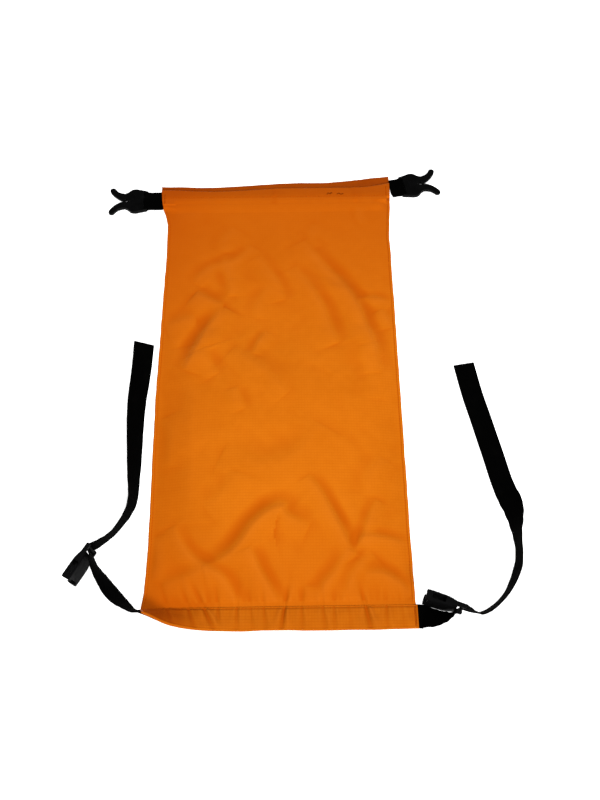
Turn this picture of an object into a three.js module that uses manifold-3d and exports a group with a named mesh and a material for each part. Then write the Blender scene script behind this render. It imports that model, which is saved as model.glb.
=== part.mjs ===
// Roll-top dry bag, lying flat, empty and unrolled on its back, with side-release buckles on webbing.
// Millimetres. +Z up out of the front face, +X to the right, +Y from the bottom hem to the mouth.
// Origin: middle of the bottom hem line, on the underside of the bag.
import * as THREE from 'three';
import { mergeVertices } from 'three/addons/utils/BufferGeometryUtils.js';
import Module from 'manifold-3d';

const wasm = await Module();
wasm.setup();

// ---------------------------------------------------------------- shared dimensions
const WEB_W = 25; // width of all the webbing
const WEB_T = 1.2; // webbing thickness
const FABRIC_T = 0.8; // one sheet of fabric
const BAG_T = 3.0; // two sheets and the space between them
const SEAM_W = 3.2; // sewn side seam
const GAP = 0.3; // clearance between neighbouring pieces
const BAR_R = 1.5; // crossbars that webbing runs round
const BAR_SEGMENTS = 20;
const TACK_W = 2; // bartack, along X
const TACK_T = 0.4;

// First, second and third fold of the roll closure, counted from the mouth.
const [FOLD_1_Y, FOLD_2_Y, FOLD_3_Y] = [536, 481, 424];
const FOLD_GAP = 0.4; // each side of the first and second folds
const BODY_FOLD_GAP = 0.5; // each side of the third fold

// Side edges of the bag: [y, x].
const LEFT_EDGE = [
  [-2, -147], [24, -146], [40, -143.6], [100, -142.5], [280, -144],
  [475, -140.8], [514, -141.7], [532, -146], [536, -149], [560, -151],
];
const RIGHT_EDGE = [
  [-2, 145.5], [20, 143], [100, 142.5], [480, 142.5],
  [490, 142], [520, 144], [536, 145.6], [588, 146.5],
];
// `inward` is the direction in X from the edge towards the middle of the bag.
const LEFT = { name: 'left', edge: LEFT_EDGE, inward: 1 };
const RIGHT = { name: 'right', edge: RIGHT_EDGE, inward: -1 };
const SIDES = [LEFT, RIGHT];

// ---------------------------------------------------------------- materials
const material = ({ color, roughness }) =>
  new THREE.MeshStandardMaterial({ color, roughness, metalness: 0 });
const cloth = material({ color: 0xdb7312, roughness: 0.6 });
const clothDark = material({ color: 0xb85f10, roughness: 0.65 });
const webbing = material({ color: 0x0c0c0b, roughness: 0.85 });
const plastic = material({ color: 0x121213, roughness: 0.45 });
const tape = material({ color: 0xd8a878, roughness: 0.4 });
const strip = material({ color: 0xe6e4dc, roughness: 0.5 });
const thread = material({ color: 0xa84f0c, roughness: 0.8 });

const bag = new THREE.Group();
function piece(name, geometry, meshMaterial, parent = bag) {
  const mesh = new THREE.Mesh(geometry, meshMaterial);
  mesh.name = name;
  parent.add(mesh);
  return mesh;
}

// ---------------------------------------------------------------- number helpers
const rad = THREE.MathUtils.degToRad;
const vec = (x, y, z) => new THREE.Vector3(x, y, z);
const toVector2 = ([x, y]) => new THREE.Vector2(x, y);
const centred = (half) => [-half, half];
// A span on the positive side of zero, or its mirror image.
const spanOn = (sign, near, far) => (sign > 0 ? [near, far] : [-far, -near]);
// An outline mirrored across its first axis, keeping its turning sense.
const mirrored = (outline) => outline.map(([u, v]) => [u, -v]).reverse();

// Evenly spaced values, both ends included.
function evenly(start, span, steps) {
  return Array.from({ length: steps + 1 }, (_, i) => start + (span * i) / steps);
}

// Reads a table of [position, value] by straight lines, held level past its ends.
function along(table, position) {
  if (position <= table[0][0]) return table[0][1];
  for (let i = 1; i < table.length; i++) {
    const [before, valueBefore] = table[i - 1];
    const [after, valueAfter] = table[i];
    if (position <= after) {
      return valueBefore + ((valueAfter - valueBefore) * (position - before)) / (after - before);
    }
  }
  return table[table.length - 1][1];
}
const edgeX = (side, y, inset) => along(side.edge, y) + side.inward * inset;

// ---------------------------------------------------------------- surface helpers
// Turns every face round if the closed surface faces inwards.
function facingOut(positions) {
  let volume = 0;
  for (let i = 0; i < positions.length; i += 9) {
    const [a, b, c] = [0, 3, 6].map((k) => vec().fromArray(positions, i + k));
    volume += a.dot(b.cross(c));
  }
  if (volume < 0) {
    for (let i = 0; i < positions.length; i += 9) {
      const second = positions.slice(i + 3, i + 6);
      for (let k = 0; k < 3; k++) {
        positions[i + 3 + k] = positions[i + 6 + k];
        positions[i + 6 + k] = second[k];
      }
    }
  }
  const geometry = new THREE.BufferGeometry();
  geometry.setAttribute('position', new THREE.Float32BufferAttribute(positions, 3));
  return geometry;
}

function addTriangle(positions, ...corners) {
  for (const { x, y, z } of corners) positions.push(x, y, z);
}
function addQuad(positions, a, b, c, d) {
  addTriangle(positions, a, b, c);
  addTriangle(positions, a, c, d);
}
// The wall through a row of loops that all have the same number of corners.
function addWall(positions, loops, isInner = false) {
  const corners = loops[0].length;
  for (let s = 0; s + 1 < loops.length; s++) {
    const [here, next] = [loops[s], loops[s + 1]];
    for (let i = 0; i < corners; i++) {
      const j = (i + 1) % corners;
      if (isInner) addQuad(positions, here[i], next[i], next[j], here[j]);
      else addQuad(positions, here[i], here[j], next[j], next[i]);
    }
  }
}

// A closed skin over a row of loops; `profile` is the loops' flat outline, for the end caps.
function loft(loops, profile) {
  const positions = [];
  addWall(positions, loops);
  const flat = profile.map(toVector2);
  const area = THREE.ShapeUtils.area(flat);
  const first = loops[0];
  const last = loops[loops.length - 1];
  for (let [i, j, k] of THREE.ShapeUtils.triangulateShape(flat, [])) {
    // Keep each cap triangle in the same turning sense as the loop itself.
    if (THREE.ShapeUtils.area([flat[i], flat[j], flat[k]]) * area < 0) [j, k] = [k, j];
    addTriangle(positions, first[i], first[k], first[j]);
    addTriangle(positions, last[i], last[j], last[k]);
  }
  return facingOut(positions);
}

// An outer and an inner wall joined by a ring at both ends, so the hollow is open at both ends.
function sleeve(outer, inner) {
  const positions = [];
  addWall(positions, outer);
  addWall(positions, inner, true);
  const corners = outer[0].length;
  const last = outer.length - 1;
  for (let i = 0; i < corners; i++) {
    const j = (i + 1) % corners;
    addQuad(positions, outer[0][i], inner[0][i], inner[0][j], outer[0][j]);
    addQuad(positions, outer[last][i], outer[last][j], inner[last][j], inner[last][i]);
  }
  return facingOut(positions);
}

// Rectangular loops standing across Y and across X, and the flat outline of any such loop.
const loopAtY = (y, [x0, x1], [z0, z1]) =>
  [vec(x0, y, z0), vec(x1, y, z0), vec(x1, y, z1), vec(x0, y, z1)];
const loopAtX = (x, [y0, y1], [z0, z1]) =>
  [vec(x, y0, z0), vec(x, y1, z0), vec(x, y1, z1), vec(x, y0, z1)];
const SQUARE = [[-1, -1], [1, -1], [1, 1], [-1, 1]];

function extrude(shape, depth) {
  return new THREE.ExtrudeGeometry(shape, { depth, bevelEnabled: false, steps: 1 });
}
// A plate with the given outline [[x, y], ...] between two heights.
function plate(outline, [z0, z1]) {
  return extrude(new THREE.Shape(outline.map(toVector2)), z1 - z0).translate(0, 0, z0);
}
function box([x0, x1], [y0, y1], [z0, z1]) {
  return new THREE.BoxGeometry(x1 - x0, y1 - y0, z1 - z0)
    .translate((x0 + x1) / 2, (y0 + y1) / 2, (z0 + z1) / 2);
}
// A crossbar along Y, centred on the origin.
const crossbar = (length) => new THREE.CylinderGeometry(BAR_R, BAR_R, length, BAR_SEGMENTS);

function toManifold(geometry) {
  const loose = geometry.index ? geometry.toNonIndexed() : geometry;
  const bare = new THREE.BufferGeometry();
  bare.setAttribute('position', loose.getAttribute('position'));
  const merged = mergeVertices(bare, 1e-4);
  return new wasm.Manifold(new wasm.Mesh({
    numProp: 3,
    vertProperties: new Float32Array(merged.attributes.position.array),
    triVerts: new Uint32Array(merged.index.array),
  }));
}
function toGeometry(manifold) {
  const mesh = manifold.getMesh();
  const geometry = new THREE.BufferGeometry();
  const positions = new Float32Array(mesh.vertProperties);
  geometry.setAttribute('position', new THREE.BufferAttribute(positions, 3));
  geometry.setIndex(new THREE.BufferAttribute(new Uint32Array(mesh.triVerts), 1));
  return geometry;
}

// ---------------------------------------------------------------- bag body
const BODY_Y = [24, FOLD_3_Y - BODY_FOLD_GAP]; // from the hem to the third fold
const FILL_Y = 362; // top of the part of the front sheet that lifts as the bag fills
const FILL_GAP = 0.6;
const BODY_STEPS = 8;
const FRONT_TOP_STEPS = 3;
const TAPE_Y = [26, 420];
const TAPE_Z = [1.2, 1.7];
const TAPE_INSET = SEAM_W + 1;
const TAPE_W = 16;
const BOTTOM_TAPE_HALF = 121;
const BOTTOM_TAPE_W = 14;

// Outline that goes up one line, given as x for each y, and down another.
function outlineBetween([y0, y1], steps, upX, downX) {
  const heights = evenly(y0, y1 - y0, steps);
  const up = heights.map((y) => [upX(y), y]);
  const down = heights.map((y) => [downX(y), y]).reverse();
  return [...up, ...down];
}
function panel(spanY, spanZ, steps = BODY_STEPS) {
  const inset = SEAM_W + GAP;
  const rightX = (y) => edgeX(RIGHT, y, inset);
  const leftX = (y) => edgeX(LEFT, y, inset);
  return plate(outlineBetween(spanY, steps, rightX, leftX), spanZ);
}
// A strip that follows a side edge, between two distances in from it.
function sideStrip(side, [from, to], spanY, spanZ) {
  const outerX = (y) => edgeX(side, y, from);
  const innerX = (y) => edgeX(side, y, to);
  return plate(outlineBetween(spanY, BODY_STEPS, outerX, innerX), spanZ);
}

const FRONT_Z = [BAG_T - FABRIC_T, BAG_T];
piece('back_panel', panel(BODY_Y, [0, FABRIC_T]), cloth);
piece('front_panel', panel([BODY_Y[0], FILL_Y], FRONT_Z), cloth);
const frontTop = panel([FILL_Y + FILL_GAP, BODY_Y[1]], FRONT_Z, FRONT_TOP_STEPS);
piece('front_panel_top', frontTop, cloth);
for (const side of SIDES) {
  piece(`${side.name}_side_seam`, sideStrip(side, [0, SEAM_W], BODY_Y, [0, BAG_T]), cloth);
}
// Waterproof tapes welded over the seams, inside the bag.
for (const side of SIDES) {
  const across = [TAPE_INSET, TAPE_INSET + TAPE_W];
  piece(`${side.name}_seam_tape`, sideStrip(side, across, TAPE_Y, TAPE_Z), tape);
}
const bottomTapeY = [TAPE_Y[0], TAPE_Y[0] + BOTTOM_TAPE_W];
piece('bottom_seam_tape', box(centred(BOTTOM_TAPE_HALF), bottomTapeY, TAPE_Z), tape);

// ---------------------------------------------------------------- bottom hem
// A folded band, open towards the bag. Its left end turns up towards the corner, where the
// webbing stands on edge.
const HEM_TOP_Y = 23; // stitch line
const HEM_W = 25; // depth of the band
const HEM_T = 3.4; // thickness of the band
const HEM_FOLD_T = 1.2; // wall at the folded edge
// How far the band turns up: [x, degrees].
const HEM_TURN = [
  [-147, 74], [-138, 66], [-130, 57], [-122, 48], [-115, 41], [-107, 34], [-100, 28],
  [-90, 20], [-78, 12], [-60, 5], [-40, 0], [0, 0], [144.5, 0],
];
// Stations along the hem, close together where it twists.
const HEM_X = [...evenly(-147, 68, 34), -77, -68, -60, -40, 0, 40, 80, 116, 130, 144.5];
const LEFT_ANCHOR_X = [-148, ...HEM_X.filter((x) => x <= -117)];
const RIGHT_ANCHOR_X = [116, 130, 144.5, 146.4];
// Left end of each hem bartack.
const HEM_TACK_X = { left: -144.5, right: 141 };

// Profiles are [depth from the stitch line, height through the band].
const HEM_PROFILE = [
  [0, 0], [HEM_W, 0], [HEM_W, HEM_T], [0, HEM_T],
  [0, HEM_T - FABRIC_T], [HEM_W - HEM_FOLD_T, HEM_T - FABRIC_T],
  [HEM_W - HEM_FOLD_T, FABRIC_T], [0, FABRIC_T],
];
const profileBox = ([near, far], [low, high]) => [[near, low], [far, low], [far, high], [near, high]];
const ANCHOR_LOW = 1.1; // underside of the anchor webbing within the band
const ANCHOR_PROFILE = profileBox([0.6, 23.2], [ANCHOR_LOW + WEB_T, ANCHOR_LOW]);
const HEM_TACK_PROFILE = profileBox([2, 22], [HEM_T + GAP, HEM_T + GAP + TACK_T]);

// The band turns about its stitch line, on its top face.
function hemPoint(x, depth, height) {
  const turn = rad(along(HEM_TURN, x));
  const below = height - HEM_T;
  return vec(
    x,
    HEM_TOP_Y - depth * Math.cos(turn) + below * Math.sin(turn),
    HEM_T + depth * Math.sin(turn) + below * Math.cos(turn),
  );
}
function hemLoft(stations, profile) {
  const loops = stations.map((x) => profile.map(([depth, height]) => hemPoint(x, depth, height)));
  return loft(loops, profile);
}
piece('bottom_hem', hemLoft(HEM_X, HEM_PROFILE), cloth);
piece('left_strap_anchor', hemLoft(LEFT_ANCHOR_X, ANCHOR_PROFILE), webbing);
piece('right_strap_anchor', hemLoft(RIGHT_ANCHOR_X, ANCHOR_PROFILE), webbing);
// Bartacks: dense thread blocks that hold the webbing, on the face of the hem.
for (const [side, x] of Object.entries(HEM_TACK_X)) {
  piece(`${side}_hem_bartack`, hemLoft([x, x + TACK_W], HEM_TACK_PROFILE), thread);
}

// ---------------------------------------------------------------- roll closure
// The tube of the bag goes on to the mouth; each stretch between two folds is a sleeve.
const ROLL_STEPS = 4;
function rollSleeve(y0, y1) {
  const heights = evenly(y0, y1 - y0, ROLL_STEPS);
  const loops = (inset, spanZ) =>
    heights.map((y) => loopAtY(y, [edgeX(LEFT, y, inset), edgeX(RIGHT, y, inset)], spanZ));
  return sleeve(loops(0, [0, BAG_T]), loops(SEAM_W, [FABRIC_T, BAG_T - FABRIC_T]));
}
piece('lower_roll_sleeve', rollSleeve(FOLD_3_Y + BODY_FOLD_GAP, FOLD_2_Y - FOLD_GAP), cloth);
piece('upper_roll_sleeve', rollSleeve(FOLD_2_Y + FOLD_GAP, FOLD_1_Y - FOLD_GAP), cloth);

// ---------------------------------------------------------------- mouth hems
// Back and front lip: each a flat pocket round a stiffener strip, open at its ends.
const LIP_T = 1.6;
const LIP_WALL = 0.4; // wall over and under the pocket
const LIP_Y0 = FOLD_1_Y + FOLD_GAP;
const POCKET_Y0 = 554.5; // lower edge of the pocket
const POCKET_TOP_WALL = 1.4;
const STIFFENER_T = 0.5;
const STIFFENER_GAP = 0.4; // to the pocket's lower and upper edges
const BACK_LIP_Z = 0;
const FRONT_LIP_Z = 4.4;
// Top edge of each lip: [x, y].
const BACK_TOP = [
  [-151, 574.5], [-130, 572.8], [-100, 571], [-75, 571], [-50, 572.5], [0, 576],
  [30, 577], [60, 576.4], [100, 580], [125, 584], [146.5, 587.5],
];
const FRONT_TOP = [
  [-151, 566], [-130, 565.5], [-110, 563.5], [-75, 562.5], [-40, 564], [0, 566.5],
  [60, 567], [100, 566.7], [115, 567.6], [130, 570], [146.5, 573.5],
];
const LIP_INNER_X = [-140, -130, -110, -90, -75, -55, -40, -20, 0, 30, 60, 80, 100, 115, 130];
const LIP_X = [-150.5, ...LIP_INNER_X, 146];
const STIFFENER_X = [-146, ...LIP_INNER_X, 142];

// Loops from y0 to a distance below the lip's top edge.
function lipLoops(stations, top, y0, topInset, spanZ) {
  return stations.map((x) => loopAtX(x, [y0, along(top, x) - topInset], spanZ));
}
function lip(top, z) {
  const pocketZ = [z + LIP_WALL, z + LIP_T - LIP_WALL];
  return sleeve(
    lipLoops(LIP_X, top, LIP_Y0, 0, [z, z + LIP_T]),
    lipLoops(LIP_X, top, POCKET_Y0, POCKET_TOP_WALL, pocketZ),
  );
}
function stiffener(top, z) {
  const low = z + (LIP_T - STIFFENER_T) / 2;
  const topInset = POCKET_TOP_WALL + STIFFENER_GAP;
  const spanZ = [low, low + STIFFENER_T];
  return loft(lipLoops(STIFFENER_X, top, POCKET_Y0 + STIFFENER_GAP, topInset, spanZ), SQUARE);
}
piece('back_lip', lip(BACK_TOP, BACK_LIP_Z), clothDark);
piece('front_lip', lip(FRONT_TOP, FRONT_LIP_Z), cloth);
piece('back_lip_stiffener', stiffener(BACK_TOP, BACK_LIP_Z), strip);
piece('front_lip_stiffener', stiffener(FRONT_TOP, FRONT_LIP_Z), strip);

// Bartacks on the face of the front lip; x is their left side.
function lipTack(x, spanY) {
  const z = FRONT_LIP_Z + LIP_T + GAP;
  return box([x, x + TACK_W], spanY, [z, z + TACK_T]);
}
piece('left_tab_bartack', lipTack(-147.5, [542.5, 559]), thread);
piece('right_tab_bartack', lipTack(140.8, [553.5, 568]), thread);

// ---------------------------------------------------------------- webbing tabs
// In a tab's own frame u runs out from the bag's side, v across the webbing, z up.
// `turn` is in degrees; `root` and `bar` are the u of the tab's inner end and of the crossbar;
// `upper` is the sign of v towards the mouth (+Y).
const TABS = [
  { side: 'left', x: -152, y: 550, turn: 180, root: -12, bar: 19.4, upper: -1 },
  { side: 'right', x: 147, y: 565.4, turn: 10, root: -10, bar: 16.2, upper: 1 },
];
const BUCKLE_Z = 3.0; // mid height of the male halves and the tabs
const TAB_HALF_T = 1.25; // half of the doubled webbing
const TAB_BAR_GAP = 0.2; // between the crossbar and the webbing round it
const TAB_FLARE = 9; // where the tab starts to widen, behind the bar
const TAB_SPLIT = 6.5; // where its two layers part, behind the bar
const ARC_STEPS = 14;

// Arc round the far side of the bar, going past a half turn by `extra` radians at each end.
function barArc(bar, radius, extra) {
  return evenly(-Math.PI / 2 - extra, Math.PI + 2 * extra, ARC_STEPS)
    .map((angle) => [bar + radius * Math.cos(angle), radius * Math.sin(angle)]);
}
// Side profile of the webbing folded round the bar, pushed out across its width.
function tabGeometry({ bar, root }) {
  const innerR = BAR_R + TAB_BAR_GAP;
  const outline = [
    [root, -TAB_HALF_T], [bar - TAB_FLARE, -TAB_HALF_T],
    ...barArc(bar, innerR + WEB_T, 0.25),
    [bar - TAB_FLARE, TAB_HALF_T], [root, TAB_HALF_T],
  ];
  const shape = new THREE.Shape(outline.map(toVector2));
  const eye = [[bar - TAB_SPLIT, 0], ...barArc(bar, innerR, 0.3)];
  const hole = new THREE.Path(eye.map(toVector2));
  shape.closePath();
  hole.closePath();
  shape.holes.push(hole);
  // The (u, z) profile stands up, and the push direction becomes -v.
  return extrude(shape, WEB_W).rotateX(Math.PI / 2).translate(0, WEB_W / 2, BUCKLE_Z);
}

// ---------------------------------------------------------------- male buckle halves
// u = 0 is at the shoulders.
const MALE_BAR_BACK = 11; // how far the crossbar lies behind the shoulders
const MALE_BAR_LENGTH = 28.6;
const MALE_HALF_T = 2.5;
const PRONG_HALF_T = 2.3;
// The -v half of the frame's outline: [u, v].
const MALE_HALF_OUTLINE = [
  [-13.4, -14.0], [-12.4, -15.3], [-8, -16.2], [-3, -17], [1.2, -18], [6, -17.8],
  [9.4, -16], [12.6, -12.6], [16.4, -11.2], [16.4, -0.7], [10, -0.7],
];
// The +v springy prong with its catch: [u, v].
const PRONG_OUTLINE = [
  [16.9, 0.8], [19.5, 1.1], [24, 3], [29.5, 7.2], [34.4, 12.6], [36.2, 16.2], [36.1, 18.6],
  [34, 19.7], [31.3, 19], [28.6, 15.4], [25.5, 13], [21, 11.8], [16.9, 11.1],
];
function maleFrame() {
  const outline = [...MALE_HALF_OUTLINE, ...mirrored(MALE_HALF_OUTLINE)];
  const webSlot = box([-18, -7.5], centred(13.2), centred(4));
  const bar = crossbar(MALE_BAR_LENGTH).translate(-MALE_BAR_BACK, 0, 0);
  const frame = toManifold(plate(outline, centred(MALE_HALF_T)))
    .subtract(toManifold(webSlot))
    .add(toManifold(bar));
  return toGeometry(frame);
}
function prong(sign) {
  return plate(sign > 0 ? PRONG_OUTLINE : mirrored(PRONG_OUTLINE), centred(PRONG_HALF_T));
}

for (const tab of TABS) {
  const group = new THREE.Group();
  group.name = `${tab.side}_tab_group`;
  group.position.set(tab.x, tab.y, 0);
  group.rotation.z = rad(tab.turn);
  bag.add(group);
  piece(`${tab.side}_buckle_tab`, tabGeometry(tab), webbing, group);

  const male = new THREE.Group();
  male.position.set(tab.bar + MALE_BAR_BACK, 0, BUCKLE_Z);
  group.add(male);
  piece(`${tab.side}_male_frame`, maleFrame(), plastic, male);
  piece(`${tab.side}_male_upper_prong`, prong(tab.upper), plastic, male);
  piece(`${tab.side}_male_lower_prong`, prong(-tab.upper), plastic, male);
}

// ---------------------------------------------------------------- straps
// Adjuster bar of each female half, and the direction in degrees its mouth points.
const LEFT_BAR = { x: -199.5, y: 83, turn: 238.7 };
const RIGHT_BAR = { x: 187.6, y: 14.6, turn: 160 };
const FEMALE_Z = 18.9; // mid height of the female halves, which stand on edge
const GROUND_GAP = 0.15; // under a strap with no lift
const WRAP_R = BAR_R + 0.3 + WEB_T / 2; // mid thickness of the webbing round the bar
const WRAP_LIFT = FEMALE_Z - WEB_W / 2 - GROUND_GAP; // centres the webbing on the bar
const WRAP_STEPS = 4;
const STEPS_PER_STATION = 2;

// Stations round an adjuster bar, from a start angle through a span, in degrees.
function wrap(bar, start, span) {
  return evenly(start, span, WRAP_STEPS).map((degrees) => {
    const angle = rad(degrees);
    return [bar.x + WRAP_R * Math.cos(angle), bar.y + WRAP_R * Math.sin(angle), 0, WRAP_LIFT];
  });
}
// Stations: [x, y, lean, lift]. Lean is the webbing's tilt in degrees from standing on edge,
// positive when its upper edge falls to the left of its run; lift raises its lower edge.
const LEFT_STRAP = [
  [-149.7, 18.2, 16, 2.6], [-150.7, 18.3, 16, 2.55], [-154.4, 20.1, 17, 2.2],
  [-160, 24.4, 23, 1.0], [-166, 29, 30, 0.3], [-172, 34.4, 34, 0], [-178, 41, 34, 0],
  [-183, 47.6, 29, 0.5], [-188, 54.6, 24, 1.9], [-192.6, 61.6, 16, 4.1], [-196.3, 69, 7, 5.9],
  [-197.7, 74.4, 1, WRAP_LIFT], [-199.2, 77.6, 0, WRAP_LIFT],
  ...wrap(LEFT_BAR, 231, -95),
  [-195.6, 87.2, 0, WRAP_LIFT], [-190.5, 90.8, -3, 5.2], [-184, 96.8, -6, 2.2],
  [-178.2, 103, -6, 0.4], [-170.8, 113.6, -3, 0], [-164.2, 125.5, 3, 0], [-160.6, 138, 11, 0],
  [-160.2, 151, 17, 0], [-160.9, 163.8, 22, 0], [-161.8, 188.7, 30, 0], [-162.9, 213.6, 36, 0],
  [-163.8, 238.5, 42, 0], [-163.6, 263.3, 47, 0], [-162, 288, 52, 0], [-160.9, 313, 57, 0],
  [-160.6, 337.6, 62, 0],
];
const RIGHT_STRAP = [
  [148, 10.7, -90, 0.95], [149.4, 10.7, -88, 0.8], [153, 10.0, -74, 0.2], [157.5, 8.8, -57, 0],
  [163, 8.5, -45, 0.3], [169, 8.8, -32, 1.8], [174.6, 9.9, -19, 4.2], [178.8, 11.3, -6, 5.9],
  [181.9, 12.4, 0, WRAP_LIFT], [183.9, 13.0, 0, WRAP_LIFT],
  ...wrap(RIGHT_BAR, 172, -88),
  [190.7, 16.3, 0, WRAP_LIFT], [195.4, 14.1, -4, 5.6], [201.2, 11.9, -10, 3.1],
  [207.5, 11, -15, 0.9], [214, 12.9, -13, 0], [220.5, 16.5, -11, 0], [230.5, 24.4, -8, 0],
  [239.5, 34.4, -7, 0], [246.4, 45.8, -9, 0], [251.7, 57.4, -10, 0], [255, 70, -5, 0],
  [256.1, 83.2, -3, 0], [256.2, 96.1, -9, 0], [256.6, 109.3, -24, 0], [256.2, 122.3, -42, 0],
  [254.4, 135.4, -66, 0], [251.4, 148.6, -86, 0], [248.2, 161.8, -90, 0],
  [243.1, 187.6, -90, 0], [237.7, 213.6, -90, 0], [232.3, 239.6, -90, 0],
  [226.7, 265.6, -90, 0], [220, 307, -90, 0],
];

function strap(stations) {
  const path = stations.map(([x, y]) => vec(x, y, 0));
  const curve = new THREE.CatmullRomCurve3(path, false, 'centripetal');
  const spans = stations.length - 1;
  const loops = evenly(0, 1, spans * STEPS_PER_STATION).map((t) => {
    const k = Math.min(Math.floor(t * spans), spans - 1);
    const part = t * spans - k;
    const eased = part * part * (3 - 2 * part);
    const [, , leanA, liftA] = stations[k];
    const [, , leanB, liftB] = stations[k + 1];
    const lean = rad(leanA + (leanB - leanA) * eased);
    const lift = liftA + (liftB - liftA) * eased;
    const [sin, cos] = [Math.sin(lean), Math.cos(lean)];

    const run = curve.getTangent(t).setZ(0).normalize();
    const left = vec(-run.y, run.x, 0);
    const across = vec(left.x * sin, left.y * sin, cos);
    const through = vec(left.x * cos, left.y * cos, -sin);
    const centre = curve.getPoint(t);
    centre.z = GROUND_GAP + (WEB_W / 2) * cos + (WEB_T / 2) * Math.abs(sin) + lift;
    return SQUARE.map(([a, b]) => centre.clone()
      .addScaledVector(across, (a * WEB_W) / 2)
      .addScaledVector(through, (b * WEB_T) / 2));
  });
  return loft(loops, SQUARE);
}
piece('left_strap', strap(LEFT_STRAP), webbing);
piece('right_strap', strap(RIGHT_STRAP), webbing);

// ---------------------------------------------------------------- female buckle halves
// Own frame: x from the adjuster bar to the mouth, y through the thickness, z along the bar.
const FEMALE_HALF_W = 17;
const FEMALE_BAR_LENGTH = 28.4;
const SOCKET_HALF_T = 2.9;
const PAST_MOUTH = 46; // cuts run on to here, beyond the mouth
const RAIL_Z = [13.4, FEMALE_HALF_W - 0.6];
// Cross-sections: [x, half thickness, half width, corner chamfer].
const FEMALE_SECTIONS = [
  [6, 2.1, FEMALE_HALF_W - 1, 0.6], [8, 2.5, FEMALE_HALF_W - 0.5, 0.8],
  [12, 3.6, FEMALE_HALF_W - 0.2, 1.1], [17, 4.5, FEMALE_HALF_W, 1.3],
  [28, 4.75, FEMALE_HALF_W, 1.3], [37.4, 4.75, FEMALE_HALF_W, 1.3],
  [39.4, 4.4, FEMALE_HALF_W - 0.4, 1.1],
];
// Side rails that carry the adjuster bar: [x, y].
const RAIL_OUTLINE = [[-2.6, -1.1], [-1.7, -2.1], [8, -2.2], [8, 2.2], [-1.7, 2.1], [-2.6, 1.1]];

// Rectangle with cut corners: [across the width, through the thickness].
const chamferedRect = (w, h, c) => [
  [w - c, -h], [w, -h + c], [w, h - c], [w - c, h],
  [-w + c, h], [-w, h - c], [-w, -h + c], [-w + c, -h],
];
function femaleHalf() {
  const loops = FEMALE_SECTIONS.map(([x, halfT, halfW, chamfer]) =>
    chamferedRect(halfW, halfT, chamfer).map(([z, y]) => vec(x, y, z)));
  let body = toManifold(loft(loops, chamferedRect(FEMALE_HALF_W, 4, 1)));
  const add = (geometry) => { body = body.add(toManifold(geometry)); };
  const cut = (geometry) => { body = body.subtract(toManifold(geometry)); };
  const socketY = centred(SOCKET_HALF_T);

  for (const sign of [-1, 1]) add(plate(RAIL_OUTLINE, spanOn(sign, ...RAIL_Z)));
  add(crossbar(FEMALE_BAR_LENGTH).rotateX(Math.PI / 2));
  // Socket, open at the mouth.
  cut(box([13, PAST_MOUTH], socketY, centred(13.8)));
  // Side windows for the catches.
  for (const sign of [-1, 1]) cut(box([19, 33], socketY, spanOn(sign, 12, 19)));
  // Notches in both faces at the mouth.
  for (const sign of [-1, 1]) cut(box([36.2, PAST_MOUTH], spanOn(sign, 2, 6), centred(8.5)));
  return toGeometry(body);
}
for (const [side, bar] of [['left', LEFT_BAR], ['right', RIGHT_BAR]]) {
  const mesh = piece(`${side}_female_buckle`, femaleHalf(), plastic);
  mesh.position.set(bar.x, bar.y, FEMALE_Z);
  mesh.rotation.z = rad(bar.turn);
}

export default bag;
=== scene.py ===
"""Roll-top dry bag lying flat on its back, with two webbing straps and two buckles.

+X is right, +Y runs from the bottom hem to the mouth, +Z is up out of the front face.
Lengths are millimetres and are turned into metres when a mesh is made.
"""
import math
from contextlib import contextmanager
import bpy
import bmesh
import numpy as np
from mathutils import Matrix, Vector


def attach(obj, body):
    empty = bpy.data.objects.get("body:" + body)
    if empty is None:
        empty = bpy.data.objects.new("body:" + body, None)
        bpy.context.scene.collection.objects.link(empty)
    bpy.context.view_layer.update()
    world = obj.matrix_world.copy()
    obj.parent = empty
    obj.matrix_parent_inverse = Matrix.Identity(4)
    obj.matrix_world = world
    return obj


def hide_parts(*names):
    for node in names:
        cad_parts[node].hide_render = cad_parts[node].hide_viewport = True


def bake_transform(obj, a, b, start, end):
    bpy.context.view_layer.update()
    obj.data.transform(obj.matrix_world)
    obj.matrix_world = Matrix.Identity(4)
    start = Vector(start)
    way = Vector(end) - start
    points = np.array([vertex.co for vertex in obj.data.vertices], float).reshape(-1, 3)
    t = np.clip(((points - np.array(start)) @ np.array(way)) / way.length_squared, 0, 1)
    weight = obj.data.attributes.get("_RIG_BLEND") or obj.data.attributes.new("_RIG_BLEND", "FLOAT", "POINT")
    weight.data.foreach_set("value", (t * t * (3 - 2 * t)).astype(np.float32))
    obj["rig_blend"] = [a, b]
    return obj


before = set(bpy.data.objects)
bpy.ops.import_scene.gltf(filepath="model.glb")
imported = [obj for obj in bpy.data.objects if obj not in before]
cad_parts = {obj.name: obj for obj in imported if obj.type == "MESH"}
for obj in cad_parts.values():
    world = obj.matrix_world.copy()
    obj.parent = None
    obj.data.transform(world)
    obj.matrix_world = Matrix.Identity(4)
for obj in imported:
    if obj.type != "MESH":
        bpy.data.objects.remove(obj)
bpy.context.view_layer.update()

MM = 0.001  # metres in a millimetre

# ------------------------------------------------------------------ driving dimensions
WEB_WIDTH, WEB_THICK = 25.0, 1.2
BASKET_ACROSS, BASKET_ALONG, SELVEDGE_PITCH = 3.04, 2.6, 1.3  # pitches of the webbing's weave

HEM_TOP, HEM_THICK = 23.0, 3.4  # y of the hem's stitched edge, thickness of the band
HEM_MID = HEM_THICK / 2
HEM_LEFT, HEM_RIGHT = -147, 144.5
FILL_Y = 362.0                  # where the filled part of the bag ends
MOUTH_Y = 541.5                 # where the sleeve parts into the front and back lips
LIP_STITCH_Y = 552.8
UPPER_FOLD_Y, MIDDLE_FOLD_Y, LOWER_FOLD_Y = 536.0, 481.0, 424.0

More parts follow.
